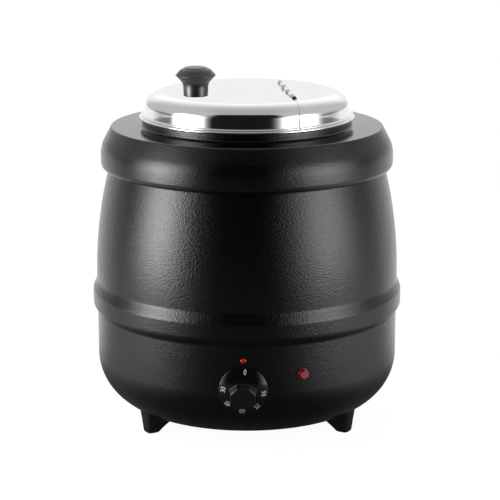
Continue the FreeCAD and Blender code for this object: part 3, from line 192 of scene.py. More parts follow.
def spun(name, line, body, material, replaced=(), place=None, steps=256, sharp=28):
    """A closed outline carried once round the axis."""
    faces = grid_faces(steps, len(line), wrap_rows=True, wrap_columns=True)
    return piece(name, spun_points(line, steps), faces, body, material, replaced, place, sharp)


print("piece tools ready")

# %% [markdown]
# ## Finishes
# Every finish starts from the real material. One small function adds a node with its settings and links,
# three short ones are built on it for arithmetic, and one turns a hex colour into the shader's linear values.


# %% Material tools
def linear(code):
    """sRGB hex to linear RGBA: below 0.04045 a straight line, above it the 2.4 power curve."""
    srgb = np.array([int(code[i:i + 2], 16) for i in (1, 3, 5)]) / 255
    low = srgb / 12.92
    high = ((srgb + 0.055) / 1.055) ** 2.4
    return (*np.where(srgb <= 0.04045, low, high).tolist(), 1.0)


def node(tree, kind, inputs=None, **settings):
    """Adds a node. Each input is joined to another node's output or set to a plain value. Settings are the
    node's attributes or, with _ for a space, inputs by name."""
    made = tree.nodes.new(kind)
    for key, value in settings.items():
        if hasattr(made, key):
            setattr(made, key, value)
        else:
            made.inputs[key.replace("_", " ")].default_value = value
    for key, value in (inputs or {}).items():
        if isinstance(value, bpy.types.NodeSocket):
            tree.links.new(value, made.inputs[key])
        else:
            made.inputs[key].default_value = value
    return made


def maths(tree, operation, *values):
    """One step of arithmetic on outputs or plain numbers. Returns the result's output."""
    return node(tree, "ShaderNodeMath", dict(enumerate(values)), operation=operation).outputs[0]


def mixed(tree, share, first, second):
    """The first value where the share is 0, the second where it is 1. Returns the result's output."""
    return node(tree, "ShaderNodeMix", {0: share, 2: first, 3: second}).outputs[0]


def mapped(tree, value, start, end, low=0.0, high=1.0, curve="LINEAR"):
    """Carries start..end over to low..high and holds the ends. Returns the result's output."""
    made = node(tree, "ShaderNodeMapRange", {"Value": value}, From_Min=start, From_Max=end,
                To_Min=low, To_Max=high, interpolation_type=curve)
    return made.outputs["Result"]


def finish(name, colour, **sockets):
    """An empty finish: a Principled shader with its constant sockets set. Returns material, tree, shader."""
    material = bpy.data.materials.new(name)
    material.use_nodes = True
    tree = material.node_tree
    shader = tree.nodes["Principled BSDF"]
    shader.inputs["Base Color"].default_value = linear(colour)
    for key, value in sockets.items():
        shader.inputs[key.replace("_", " ")].default_value = value
    material.diffuse_color = linear(colour)
    return material, tree, shader


def per_mm(size):
    """Texture scale for a pattern whose cells are this many millimetres wide."""
    return 1.0 / (size * MM)


print("material tools ready")

# %% [markdown]
# ### Hammered powder coat
# The barrel and the ring are sprayed with a black powder that melts into a leathery orange peel. The eye
# sees a half-matt black whose highlights break into grains about two millimetres wide. Two noise layers
# make the bump, and a third one changes the gloss a little from place to place.


# %% Powder coat
FINE_GRAIN = 0.42           # width of the fine grain, as a share of the coarse one
COARSE_WEIGHT = 2.2         # height of the coarse grain against the fine one
PEEL_DEPTH = 0.00045        # metres
LEVEL_FROM = 0.85           # a face counts as level where its normal's upward share is more than this
LEVEL_GRAIN, LEVEL_GLOSS = 0.15, 0.5        # grain and roughness of level faces, as shares of the others'
CLOUD_MM, CLOUD = 26.0, 0.04                # width of the patches of gloss, and how far roughness wanders


def powder_coat(name, grain_mm, height, roughness):
    """Black coat with a grain. On level faces the powder flows out, so they are smoother and glossier."""
    coat, tree, shader = finish(name, "#030303", IOR=1.48)
    place = node(tree, "ShaderNodeTexCoord").outputs
    grain = node(tree, "ShaderNodeTexNoise", {"Vector": place["Object"]},
                 Scale=per_mm(grain_mm), Detail=2.0, Roughness=0.45).outputs["Fac"]
    fine = node(tree, "ShaderNodeTexNoise", {"Vector": place["Object"]},
                Scale=per_mm(grain_mm * FINE_GRAIN), Detail=1.0).outputs["Fac"]
    peel = maths(tree, "MULTIPLY_ADD", grain, COARSE_WEIGHT, fine)
    upward = node(tree, "ShaderNodeSeparateXYZ", {0: place["Normal"]}).outputs["Z"]
    depth = mapped(tree, upward, LEVEL_FROM, 1.0, height, height * LEVEL_GRAIN)
    bump = node(tree, "ShaderNodeBump", {"Height": peel, "Strength": depth}, Distance=PEEL_DEPTH)
    tree.links.new(bump.outputs["Normal"], shader.inputs["Normal"])
    cloud = node(tree, "ShaderNodeTexNoise", {"Vector": place["Object"]},
                 Scale=per_mm(CLOUD_MM), Detail=2.0).outputs["Fac"]
    gloss = mapped(tree, cloud, 0.0, 1.0, roughness - CLOUD, roughness + CLOUD)
    flowed = mapped(tree, upward, LEVEL_FROM, 1.0, 1.0, LEVEL_GLOSS)
    tree.links.new(maths(tree, "MULTIPLY", gloss, flowed), shader.inputs["Roughness"])
    tone = node(tree, "ShaderNodeMix", {0: grain, 6: linear("#020202"), 7: linear("#050505")},
                data_type="RGBA")
    tree.links.new(tone.outputs[2], shader.inputs["Base Color"])
    return coat


barrel_coat = powder_coat("hammered_powder_coat", 1.9, 0.33, 0.22)
ring_coat = powder_coat("ring_powder_coat", 1.7, 0.29, 0.22)
print("powder coats:", barrel_coat.name, ring_coat.name)

# %% [markdown]
# ### Steel
# The lid and the pot are stainless steel. Outside they are polished: nearly a mirror, with a slight haze from
# the buffing wheel. Their hollow side keeps the satin of the rolled sheet, because no wheel gets in there.
# Other inner pieces are plain rolled or zinc-plated sheet with a fine grain. The hinge's pin and fixed leaf
# are a darker steel, which is painted shade for the dark gaps and dashes along the knuckles.


# %% Steel finishes
EVEN = (1.0, 1.0, 1.0)
BUFFED = ("#e3e3e4", 0.075, 0.03, 30.0, EVEN)   # colour, roughness, its haze, grain in mm and stretch
MOUTH = (0.0, 0.0, 0.338)                       # metres: the middle of the pot's mouth, just under the lid
SATIN = 0.42


def steel(name, colour, roughness, haze, grain_mm, stretch):
    """Metal whose roughness wanders by the haze, in patches that are stretched where the scale is small."""
    metal, tree, shader = finish(name, colour, Metallic=1.0)
    place = node(tree, "ShaderNodeTexCoord")
    drawn_out = node(tree, "ShaderNodeMapping", {"Vector": place.outputs["Object"], "Scale": stretch})
    patches = node(tree, "ShaderNodeTexNoise", {"Vector": drawn_out.outputs["Vector"]},
                   Scale=per_mm(grain_mm), Detail=3.0)
    gloss = mapped(tree, patches.outputs["Fac"], 0.0, 1.0, roughness - haze, roughness + haze)
    tree.links.new(gloss, shader.inputs["Roughness"])
    return metal


def satin_inside(metal, middle, roughness):
    """Gives the hollow side one roughness: faces whose normal looks back to the middle of the mouth, where
    the dot product of the normal and the way from the middle to the face is negative."""
    tree = metal.node_tree
    shader = tree.nodes["Principled BSDF"]
    outside = shader.inputs["Roughness"].links[0].from_socket
    place = node(tree, "ShaderNodeTexCoord").outputs
    way = node(tree, "ShaderNodeVectorMath", {0: place["Object"], 1: middle}, operation="SUBTRACT")
    facing = node(tree, "ShaderNodeVectorMath", {0: way.outputs[0], 1: place["Normal"]},
                  operation="DOT_PRODUCT")
    hollow = maths(tree, "LESS_THAN", facing.outputs["Value"], 0.0)
    tree.links.new(mixed(tree, hollow, outside, roughness), shader.inputs["Roughness"])
    return metal


polished = steel("polished_stainless_steel", *BUFFED)
drawn = satin_inside(steel("drawn_stainless_steel", *BUFFED), MOUTH, SATIN)
plain_steel = steel("rolled_stainless_sheet", "#b9babb", 0.30, 0.10, 4.0, (1.0, 1.0, 0.08))
# Darker steel for the hinge pin and the fixed leaf: painted shade for the dark gaps and dashes along the
# knuckles.
hinge_steel = steel("drawn_hinge_steel_painted_shade", "#808183", 0.22, 0.06, 3.0, (1.0, 0.1, 1.0))
print("steels:", polished.name, drawn.name, plain_steel.name, hinge_steel.name)

# %% [markdown]
# ### Plastics, rubber and copper
# The knob and the dial are pressed from black phenolic resin, hard and glossy. Lamp lens and index stud are
# red moulded plastic, the feet are black nylon, and the small inner pieces have their usual plain colours.


# %% Plastic finishes
def moulded(name, colour, roughness, grain_mm, height, **sockets):
    """Plastic or rubber from a mould, with the mould's faint grain as a bump."""
    plastic, tree, shader = finish(name, colour, Roughness=roughness, **sockets)
    place = node(tree, "ShaderNodeTexCoord")
    grain = node(tree, "ShaderNodeTexNoise", {"Vector": place.outputs["Object"]},
                 Scale=per_mm(grain_mm), Detail=2.0)
    bump = node(tree, "ShaderNodeBump", {"Height": grain.outputs["Fac"]}, Strength=height, Distance=0.0003)
    tree.links.new(bump.outputs["Normal"], shader.inputs["Normal"])
    return plastic


phenolic = moulded("black_phenolic_resin", "#0a0a0a", 0.12, 9.0, 0.06, IOR=1.55)
knob_resin = moulded("turned_phenolic_resin", "#0c0c0c", 0.34, 9.0, 0.06, IOR=1.85)
print_white = moulded("white_pad_print", "#b4b4b2", 0.45, 0.6, 0.10)
lens_red = moulded("red_polycarbonate", "#7d0c1a", 0.10, 3.0, 0.05, IOR=1.58)
# The lamp's end face is frosted, and its paler pink colour is painted light for the light the face catches.
lens_frost_painted_light = moulded("frosted_polycarbonate_painted_light", "#973f4b", 0.40, 1.0, 0.10, IOR=1.55)
stud_red = moulded("red_abs", "#b00d18", 0.12, 3.0, 0.05)
foot_nylon = moulded("black_nylon", "#0d0d0d", 0.50, 0.9, 0.25)
bush_rubber = moulded("black_rubber", "#111111", 0.62, 1.2, 0.25)
gasket = moulded("silicone_gasket", "#8d8a84", 0.55, 1.5, 0.15)
insulation = moulded("cream_melamine", "#cfc7b0", 0.42, 2.0, 0.10)
sleeve = moulded("glass_fibre_sleeve", "#b9ae98", 0.65, 0.8, 0.30)
copper = steel("drawn_copper", "#b8734a", 0.32, 0.08, 3.0, (1.0, 1.0, 0.1))
print("plastics ready")

# %% Finishes on the CAD nodes
SLOT_FINISH = {
    "shell_paint": barrel_coat, "ring_paint": ring_coat, "polished_steel": polished,
    "plain_steel": plain_steel, "phenolic": phenolic, "foot_plastic": foot_nylon,
    "red_lens": lens_red, "index_red": stud_red, "seal_rubber": gasket, "inlet_rubber": bush_rubber,
    "insulation": insulation, "wire_sleeve": sleeve, "copper": copper,
}
for part in frame["record"]["subparts"]:
    carried = nodes[part["node"]]
    carried.data.materials.clear()
    carried.data.materials.append(SLOT_FINISH[part["material_slot"]])
# The flap's leaf is polished. The fixed leaf and the pin take the darker hinge steel, which paints the shade
# along the knuckles.
HINGE_FINISH = {"hinge_leaf_flap": polished, "hinge_leaf_fixed": hinge_steel, "hinge_pin": hinge_steel}
for name, metal in HINGE_FINISH.items():
    nodes[name].data.materials[0] = metal

# %% [markdown]
# ## The barrel
# The shell is one deep pressing: a flange at the top, a belly with a long gentle curve, a raised bead at a
# third of the height and a bottom that tucks in. The outline below has the solid's corners down to the lower
# bend, which is drawn in two steps here because the photo shows a flatter lower edge.

# %% Barrel
SHELL_WALL = 1.0
FINE_STEP = math.radians(1.5)       # turn between two points of a bend that shows
shell_line = [
    (126.0, 327.3, 0.0), (137.9, 327.3, 3.0), (165.8, 243.8, 468.0), (165.8, 162.1, 12.0),
    (170.1, 152.0, 9.0), (170.1, 135.1, 9.0), (165.4, 128.4, 5.0), (165.4, 49.6, 58.0),
    (134.0, 26.0, 20.0), (104.0, 17.7, 10.0), (80.0, 17.7, 0.0),
]
barrel_outline = rounded(shell_line + set_over(shell_line, SHELL_WALL)[::-1], step=FINE_STEP)
barrel = spun("barrel", barrel_outline, "kettle", barrel_coat, ("outer_shell",), steps=300)

# %% [markdown]
# ## The feet
# Three moulded feet stand under the bottom's bend. The outer side is nearly upright and the inner side sweeps
# up to the shell. A foot is a stack of rounded rectangles, and its upper rows end in the shell's wall.

# %% Feet
FOOT_R, FOOT_HALF, FOOT_WIDE = 122.0, 7.0, 7.5      # place, half length and half width of the sole
FOOT_TURN = 2.1             # degrees that the feet stand round from the solid's, as the photo shows them
FOOT_LEAN, FOOT_SPREAD = 0.14, 0.17                 # outer side and half width grow so with the height
SWEEP, SWEEP_AT, SWEEP_POWER = 13.0, 10.0, 1.25     # the inner side has come in this far at this height
FOOT_INNERMOST, FOOT_SINK = 92.0, 0.4               # end of the sweep, and depth of the top in the shell
BEND_TOP = 60.0             # the shell's lower bend ends under this height
FOOT_LEVELS = np.array([0.0, 0.5, 1.6, 4.0, 7.0, 10.0, 13.0, 16.0, 20.0, 24.0, 28.0])
FOOT_ROUND = np.pad([1.6, 0.5], (0, len(FOOT_LEVELS) - 2))      # the sole's rounded edge, level by level
FOOT_STEPS = 48


def foot_points():
    """Rounded rectangles as superellipses of the fourth power: the square roots of cosine and sine, with
    their signs, times half the length and half the width. Both grow with the height. A point higher than the
    shell's outline at its radius is put on that outline, a little deep."""
    z, inset = FOOT_LEVELS[:, None], FOOT_ROUND[:, None]
    t = np.linspace(0, 2 * math.pi, FOOT_STEPS, endpoint=False)[None, :]
    length, width = (np.sign(f) * np.sqrt(np.abs(f)) for f in (np.cos(t), np.sin(t)))
    outer = FOOT_R + FOOT_HALF + FOOT_LEAN * z - inset
    swept = FOOT_R - FOOT_HALF - SWEEP * (z / SWEEP_AT) ** SWEEP_POWER
    inner = np.maximum(swept, FOOT_INNERMOST) + inset
    r = (outer + inner) / 2 + (outer - inner) / 2 * length
    side = (FOOT_WIDE + FOOT_SPREAD * z - inset) * width
    bottom = rounded(shell_line, closed=False, step=FINE_STEP)
    bottom = bottom[bottom[:, 1] < BEND_TOP][::-1]
    height = np.minimum(z, np.interp(np.hypot(r, side), bottom[:, 0], bottom[:, 1]) + FOOT_SINK)
    return np.stack((r, side, height), -1)


foot_rows = len(FOOT_LEVELS)
foot_grid = foot_points()
foot_faces = grid_faces(foot_rows, FOOT_STEPS, wrap_columns=True).tolist()
foot_faces += [list(range(FOOT_STEPS)), list(range((foot_rows - 1) * FOOT_STEPS, foot_rows * FOOT_STEPS))]
for name, azimuth in (("foot_rear", 90.0), ("foot_front_left", 210.0), ("foot_front_right", 330.0)):
    turn = Matrix.Rotation(math.radians(azimuth + FOOT_TURN), 4, "Z")
    foot = piece(name + "_moulding", foot_grid, foot_faces, "kettle", foot_nylon, (name,), turn, sharp=35)

# %% [markdown]
# ## The top ring
# A second pressing sits over the barrel's neck. It has a rolled lower lip, a curved wall, a crease, a flat
# top and a folded collar that carries the pot.

# %% Top ring
RING_WALL = 1.2
ring_line = [
    (113.8, 331.0, 2.5), (147.5, 331.0, 2.0), (159.2, 309.0, 34.0), (159.2, 285.1, 7.5), (151.1, 285.1, 0.0),
]
collar = [
    (112.6, 329.8, 0.0), (112.6, 326.8, 0.0), (111.4, 326.8, 0.0), (111.4, 340.0, 0.6), (113.8, 340.0, 0.6),
]
ring_outline = rounded(ring_line + set_over(ring_line, RING_WALL)[:0:-1] + collar)
ring = spun("top_ring_pressing", ring_outline, "kettle", ring_coat, ("top_ring",), steps=300)

# %% [markdown]
# ## Pot and tank
# Both are deep-drawn steel. The pot's edge is rolled outwards into a thin bead, which shows as a bright line
# under the lid.

# %% Pot and tank
DRAWN_WALL = 1.0
RIM_R, RIM_Z, RIM_WIRE = 115.5, 340.8, 1.3      # the bead's circle, and its own radius
pot_line = [(RIM_R, 341.0, 0.0), (108.0, 341.0, 2.5), (108.0, 81.0, 22.0), (0.0, 81.0, 0.0)]
pot_outline = rounded(pot_line + set_over(pot_line, -DRAWN_WALL)[::-1])
pot = spun("pot_drawing", pot_outline, "pot", drawn, ("inner_pot",))
bead_angle = np.linspace(0, 2 * math.pi, 16, endpoint=False)
bead_line = np.stack((RIM_R + RIM_WIRE * np.cos(bead_angle), RIM_Z + RIM_WIRE * np.sin(bead_angle)), 1)
pot_bead = spun("pot_rolled_rim", bead_line, "pot", polished)
tank_line = [(139.0, 328.3, 0.0), (121.0, 328.3, 5.0), (121.0, 57.0, 20.0), (0.0, 57.0, 0.0)]
tank_outline = rounded(tank_line + set_over(tank_line, -DRAWN_WALL)[::-1])
tank = spun("tank_drawing", tank_outline, "kettle", plain_steel, ("water_tank",), steps=200)

# %% [markdown]
# ## The two-part lid
# One pressing is cut along a straight line, and a knuckle hinge joins the halves. The lid is flat inside a
# wide bend, slopes to a tighter bend and ends in a steep wall with a hem. Each half is a polar grid:
# the angle runs round the lid and the second parameter is the length along its outline. The cut line stops
# that length early, so the grid's surplus points gather on the cut and are merged there.

# %% Lid values
LID_TURN = math.radians(7.6)
LID_SHEET = 1.0
LID_R, LID_FLAT, LID_FOOT = 111.7, 367.7, 341.0
HEM_R, HEM_TOP = 113.2, 344.0
HINGE_OFFSET, HINGE_LENGTH = 43.6, 118.0
HALF_SEAM, HALF_SLOT = 0.16, 2.8        # half the gap of the cut, and half the gap round the hinge
SLOT_END = 0.5                          # gap at each end of the hinge
lid_cap = rounded([(0.0, LID_FLAT, 0.0), (98.5, LID_FLAT, 22.0), (110.4, 358.8, 14.0), (LID_R, HEM_TOP, 0.0)],
                  closed=False, step=FINE_STEP)[:-1]
lid_hem = rounded([(*lid_cap[-1], 0.0), (LID_R, HEM_TOP, 0.8), (HEM_R, 343.2, 0.6), (HEM_R, LID_FOOT, 0.0)],
                  closed=False, step=math.radians(20))
cap_lengths = np.append(0.0, np.cumsum(np.linalg.norm(np.diff(lid_cap, axis=0), axis=1)))


def lid_place(across, along, height):
    """From the lid's own directions, across and along its hinge, to the kettle's."""
    x = across * math.cos(LID_TURN) - along * math.sin(LID_TURN)
    y = across * math.sin(LID_TURN) + along * math.cos(LID_TURN)
    return np.stack(np.broadcast_arrays(x, y, height), -1)


print("lid cap length:", round(cap_lengths[-1], 2))


# %% Lid halves
SLOT_STEPS, SEAM_STEPS, ROUND_STEPS, FLAT_STEPS = 50, 40, 160, 16
HAIR = 1e-4             # radians between the two sides of the step in the cut
AHEAD = 1e-3            # least cosine at which the cut line is met
SAME = 1e-9


def lid_half(name, side, body, replaced):
    """side is -1 for the flap, which holds the centre, and 1 for the fixed part. The cut at the angle a has
    the radius d / cos a, where d is the distance of the cut line, and d steps back along the hinge. Lengths
    past the cut are held at the cut."""
    seam = HINGE_OFFSET + side * HALF_SEAM
    slot = HINGE_OFFSET + side * HALF_SLOT
    wall_angle = math.acos(seam / LID_R)
    slot_angle = math.atan2(HINGE_LENGTH / 2 + SLOT_END, HINGE_OFFSET)
    half = np.append(np.linspace(0, slot_angle - HAIR, SLOT_STEPS),
                     np.linspace(slot_angle + HAIR, wall_angle, SEAM_STEPS))
    if side < 0:
        half = np.append(half, np.linspace(wall_angle, math.pi, ROUND_STEPS)[1:])
    a = np.append(-half[:0:-1], half)
    ahead = np.cos(a) > AHEAD
    distance = np.where(np.abs(a) < slot_angle, slot, seam)
    cut = np.where(ahead, distance / np.where(ahead, np.cos(a), 1.0), LID_R)
    limit = np.interp(cut, lid_cap[:, 0], cap_lengths)[:, None]
    s = np.append(np.linspace(0.0, cap_lengths[1], FLAT_STEPS), cap_lengths[2:])[None, :]
    s = np.minimum(s, limit) if side < 0 else np.maximum(s, limit)
    radius, height = (np.interp(s, cap_lengths, lid_cap[:, i]) for i in (0, 1))
    cap = lid_place(radius * np.cos(a)[:, None], radius * np.sin(a)[:, None], height)
    w = a
    if side < 0:
        w = np.append(a[a >= wall_angle - SAME], a[a <= SAME - wall_angle] + 2 * math.pi)
    wall = lid_place(lid_hem[None, :, 0] * np.cos(w)[:, None], lid_hem[None, :, 0] * np.sin(w)[:, None],
                     lid_hem[None, :, 1])
    faces = np.vstack((
        grid_faces(cap.shape[0], cap.shape[1]),
        grid_faces(wall.shape[0], wall.shape[1], first=cap.shape[0] * cap.shape[1]),
    ))
    points = np.vstack((cap.reshape(-1, 3), wall.reshape(-1, 3)))
    made = piece(name, points, faces, body, drawn, replaced, sharp=40)
    thick = made.modifiers.new("sheet", "SOLIDIFY")
    thick.thickness = LID_SHEET * MM
    thick.offset = -1.0
    thick.use_even_offset = True
    return made


flap = lid_half("lid_flap_pressing", -1, "flap", ("lid_flap",))
fixed = lid_half("lid_fixed_pressing", 1, "lid", ("lid_fixed_part",))
print("lid halves:", flap.name, fixed.name)

# %% [markdown]
# ## The knob
# A mushroom knob stands on the flap near the front. Its neck flares into a bevelled cap with a dished top.
# The photo shows no mirror image of it in the lid, so the knob and its fixings are hidden from mirror rays.

# %% Knob
KNOB_FOOT = 368.1
KNOB_ACROSS, KNOB_ALONG = -58.0, -29.5      # place on the lid, in the lid's own directions
knob_line = [
    (0.0, -0.4, 0.0), (13.0, -0.4, 0.8), (13.5, 13.0, 10.0), (21.6, 21.7, 0.5), (16.5, 27.4, 5.0),
    (10.7, 30.3, 2.5), (0.0, 29.5, 0.0),
]
knob_outline = rounded([(r, z + KNOB_FOOT, bend) for r, z, bend in knob_line])
knob_centre = lid_place(KNOB_ACROSS, KNOB_ALONG, 0.0) * MM
knob = spun("lid_knob_moulding", knob_outline, "flap", knob_resin, ("lid_knob",),
            place=Matrix.Translation(Vector(knob_centre)), steps=128)
for hidden in (knob, nodes["knob_screw"], nodes["knob_washer"]):
    hidden.visible_glossy = False

# %% [markdown]
# ## The dial
# The dial is turned with its face to the front. Its skirt is a cone, which catches grey light at the upper
# left and right, and its grip is a prism whose walls lean, with softened edges.

# %% Dial
DIAL_BACK, DIAL_Z, DIAL_R = 166.7, 81.5, 25.6
RIM_TALL, CONE_TALL, CONE_R = 0.9, 6.6, 14.5
GRIP_FOOT, GRIP_TOP = 3.0, 15.5
TIP_DRAFT, SIDE_DRAFT = 4.7, 2.1        # how far the grip's tip and cheeks lean in from foot to top
GRIP_EDGE = 0.7
to_front = Matrix.Translation((0.0, -DIAL_BACK * MM, DIAL_Z * MM)) @ Matrix.Rotation(math.pi / 2, 4, "X")
skirt_line = [
    (6.5, 0.0, 0.0), (6.5, 0.8, 0.0), (22.0, 0.8, 0.3), (22.0, 0.0, 0.0), (DIAL_R, 0.0, 0.0),
    (DIAL_R, RIM_TALL, 0.5), (CONE_R, CONE_TALL, 0.0), (0.0, CONE_TALL, 0.0), (0.0, 0.0, 0.0),
]
skirt = spun("dial_skirt", rounded(skirt_line), "dial", phenolic, ("control_dial",), to_front, steps=128)


def grip_ring(tip_draft, side_draft, height):
    """The grip's eight corners at one height: a narrow pointing end, wide cheeks and a narrower tail."""
    half = 14.9 - side_draft
    right = [
        (5.9, 11.3 - tip_draft), (half, 4.8 - tip_draft), (half, -9.5),
        (9.0 - side_draft / 2, -16.6 + side_draft),
    ]
    left = [(-x, y) for x, y in right[::-1]]
    return [(x, y, height) for x, y in right + left]


grip_points = np.array(grip_ring(0.0, 0.0, GRIP_FOOT) + grip_ring(TIP_DRAFT, SIDE_DRAFT, GRIP_TOP))
grip_quads = grid_faces(2, 8, wrap_columns=True).tolist() + [list(range(8)), list(range(8, 16))]
grip = piece("dial_grip", grip_points, grip_quads, "dial", phenolic, place=to_front, sharp=20)
soften = grip.modifiers.new("soft_edges", "BEVEL")
soften.width = GRIP_EDGE * MM
soften.segments = 3
soften.limit_method = "ANGLE"
soften.angle_limit = math.radians(15)
print("dial radius in millimetres:", DIAL_R)

# %% [markdown]
# The numbers are temperatures in degrees, printed in white. They stand with their heads outwards, and the
# dial shown here was put on its spindle a few degrees off the upright.

# %% Dial numbers
NUMBER_R, NUMBER_TALL, NUMBER_TURN = 20.8, 5.0, 5.0
DIGIT_SHARE = 0.70          # height of a digit in the font's own size
NUMBER_NARROW, NUMBER_BOLD = 0.86, 0.12
PRINT_LIFT = 0.06           # the print lies this far over the cone
NUMBERS = {"0": 0.0, "90": 90.0, "75": 133.0, "60": 178.0, "45": 226.0, "30": 271.0}


def number_points(text, clockwise):
    """Outline of one number as a flat mesh, turned so that its head points outwards on the dial."""
    curve = bpy.data.curves.new("number", "FONT")
    curve.body = text
    curve.size = NUMBER_TALL / DIGIT_SHARE
    curve.align_x = "CENTER"
    curve.align_y = "CENTER"
    curve.resolution_u = 3
    curve.offset = NUMBER_BOLD
    holder = bpy.data.objects.new("number", curve)
    flat = bpy.data.meshes.new_from_object(holder)
    points = np.empty(len(flat.vertices) * 3)
    flat.vertices.foreach_get("co", points)
    points = points.reshape(-1, 3)
    faces = [list(face.vertices) for face in flat.polygons]
    turn = -math.radians(clockwise + NUMBER_TURN)
    x = points[:, 0] * NUMBER_NARROW
    y = points[:, 1] + NUMBER_R
    turned = np.stack((x * math.cos(turn) - y * math.sin(turn), x * math.sin(turn) + y * math.cos(turn)), 1)
    bpy.data.objects.remove(holder)
    bpy.data.curves.remove(curve)
    bpy.data.meshes.remove(flat)
    return turned, faces


print_points, print_faces = [], []
for text, clockwise in NUMBERS.items():
    turned, faces = number_points(text, clockwise)
    first = sum(len(block) for block in print_points)
    on_cone = np.interp(np.linalg.norm(turned, axis=1), (CONE_R, DIAL_R), (CONE_TALL, RIM_TALL))
    print_points.append(np.column_stack((turned, on_cone + PRINT_LIFT)))
    print_faces += [[first + i for i in face] for face in faces]
numbers = piece("dial_numbers", np.vstack(print_points), print_faces, "dial", print_white,
                place=to_front, solid=False)

# %% [markdown]
# ## Stud and lamp
# The index stud is a small red oval dome over the dial. The lamp is a red plastic cone with a frosted flat
# end, pressed into the shell at the right. Its end is paler than the cone, and that paler colour is painted
# light.

# %% Stud and lamp
LOWER_R = 165.4
STUD_Z, STUD_OVAL = 113.1, 0.84         # height, and the stud's height as a share of its width
LAMP_Z, LAMP_AZIMUTH = 96.2, 21.8
stud_line = [
    (0.0, -5.3, 0.0), (1.9, -5.3, 0.0), (2.5, -3.3, 0.0), (2.5, -1.3, 0.0), (1.9, -1.3, 0.0), (1.9, 0.1, 0.0),
    (3.1, 0.1, 0.0), (3.1, 1.9, 1.78), (0.0, 1.9, 0.0),
]
lens_line = [
    (0.0, -6.0, 0.0), (4.3, -6.0, 0.0), (4.3, 0.1, 0.0), (5.8, 0.1, 0.0), (5.8, 1.0, 0.4), (5.4, 1.0, 0.0),
    (4.6, 5.8, 0.7), (0.0, 5.8, 0.0),
]
face_line = [(0.0, 5.6, 0.0), (3.8, 5.6, 0.0), (3.8, 5.84, 0.0), (0.0, 5.84, 0.0)]


def out_of_shell(height, azimuth):
    """Place for a piece drawn with its axis up: the axis points out of the shell, at an azimuth to the
    right of the dial."""
    turn = Matrix.Rotation(math.radians(azimuth), 4, "Z")
    return turn @ Matrix.Translation((0.0, -LOWER_R * MM, height * MM)) @ Matrix.Rotation(math.pi / 2, 4, "X")


stud_place = out_of_shell(STUD_Z, 0.0) @ Matrix.Diagonal((1.0, STUD_OVAL, 1.0, 1.0))
stud = spun("index_stud_moulding", rounded(stud_line), "kettle", stud_red, ("index_stud",),
            place=stud_place, steps=64)
lamp_place = out_of_shell(LAMP_Z, LAMP_AZIMUTH)
lens = spun("lamp_lens_moulding", rounded(lens_line), "kettle", lens_red, ("indicator_lens",),
            place=lamp_place, steps=96)
# Frosted end face: its colour, paler than the cone's, is painted light.
lens_face = spun("lamp_lens_face", rounded(face_line), "kettle", lens_frost_painted_light, place=lamp_place, steps=64)

# %% [markdown]
# ## Studio
# A white floor and a white room behind, two soft boxes left and right, and darkness behind the camera: this
# gives black paint its two upright highlights and the lid its dark band.

# %% Soft boxes
BOX_REACH, BOX_HEIGHT, BOX_TALL = 1.2, 0.60, 1.16       # metres
MIDDLE, CLOTH_POWER = 0.5, 2.0


def soft_box(name, azimuth, width, power):
    """A soft box that faces the kettle's axis. Its glow fades from the middle to both sides and, in its upper
    half, towards the top, as cloth over a lamp does: each distance to the edge, smoothed and squared."""
    lamp = bpy.data.lights.new(name, "AREA")
    lamp.shape = "RECTANGLE"
    lamp.size = width
    lamp.size_y = BOX_TALL
    lamp.energy = power
    lamp.use_nodes = True
    cloth = lamp.node_tree
    place = node(cloth, "ShaderNodeNewGeometry")
    sides = node(cloth, "ShaderNodeSeparateXYZ", {0: place.outputs["Parametric"]})
    edge = maths(cloth, "PINGPONG", sides.outputs["X"], MIDDLE)
    across = mapped(cloth, edge, 0.0, MIDDLE, curve="SMOOTHSTEP")
    upper = mapped(cloth, sides.outputs["Y"], 1.0, MIDDLE, curve="SMOOTHSTEP")
    glow = maths(cloth, "MULTIPLY", maths(cloth, "POWER", across, CLOTH_POWER),
                 maths(cloth, "POWER", upper, CLOTH_POWER))
    cloth.links.new(glow, cloth.nodes["Emission"].inputs["Strength"])
    made = bpy.data.objects.new(name, lamp)
    bpy.context.scene.collection.objects.link(made)
    turn = math.radians(azimuth)
    made.location = (BOX_REACH * math.sin(turn), -BOX_REACH * math.cos(turn), BOX_HEIGHT)
    aim = Vector((0.0, 0.0, BOX_HEIGHT)) - made.location
    made.rotation_euler = aim.to_track_quat("-Z", "Y").to_euler()
    return made


boxes = [soft_box("left_soft_box", -65.0, 1.30, 60.0), soft_box("right_soft_box", 60.5, 1.85, 34.0)]
print("soft boxes:", [box.name for box in boxes])

# %% [markdown]
# The room is only a brightness for each direction. Seen from the side, it runs over the kettle from the wall
# behind, through the ceiling, to the front, where it is dark near the camera. Low at both sides it is shaded.
# Mirror rays see this room, diffuse light is a low even grey, and the camera sees white.


# %% Room
def ramp_of(tree, source, stops):
    """A colour ramp through grey levels, given as (position, level) stops. Returns the level's output."""
    made = node(tree, "ShaderNodeValToRGB", {"Fac": source})
    elements = made.color_ramp.elements
    while len(elements) < len(stops):
        elements.new(0.5)
    for element, (position, level) in zip(elements, stops):
        element.position = position
        element.color = (level, level, level, 1.0)
    return made.outputs["Color"]


def half_turns(tree, height, way):
    """The angle of the direction (way, height), 0 along the way and 1 against it."""
    return maths(tree, "DIVIDE", maths(tree, "ARCTAN2", height, way), math.pi)


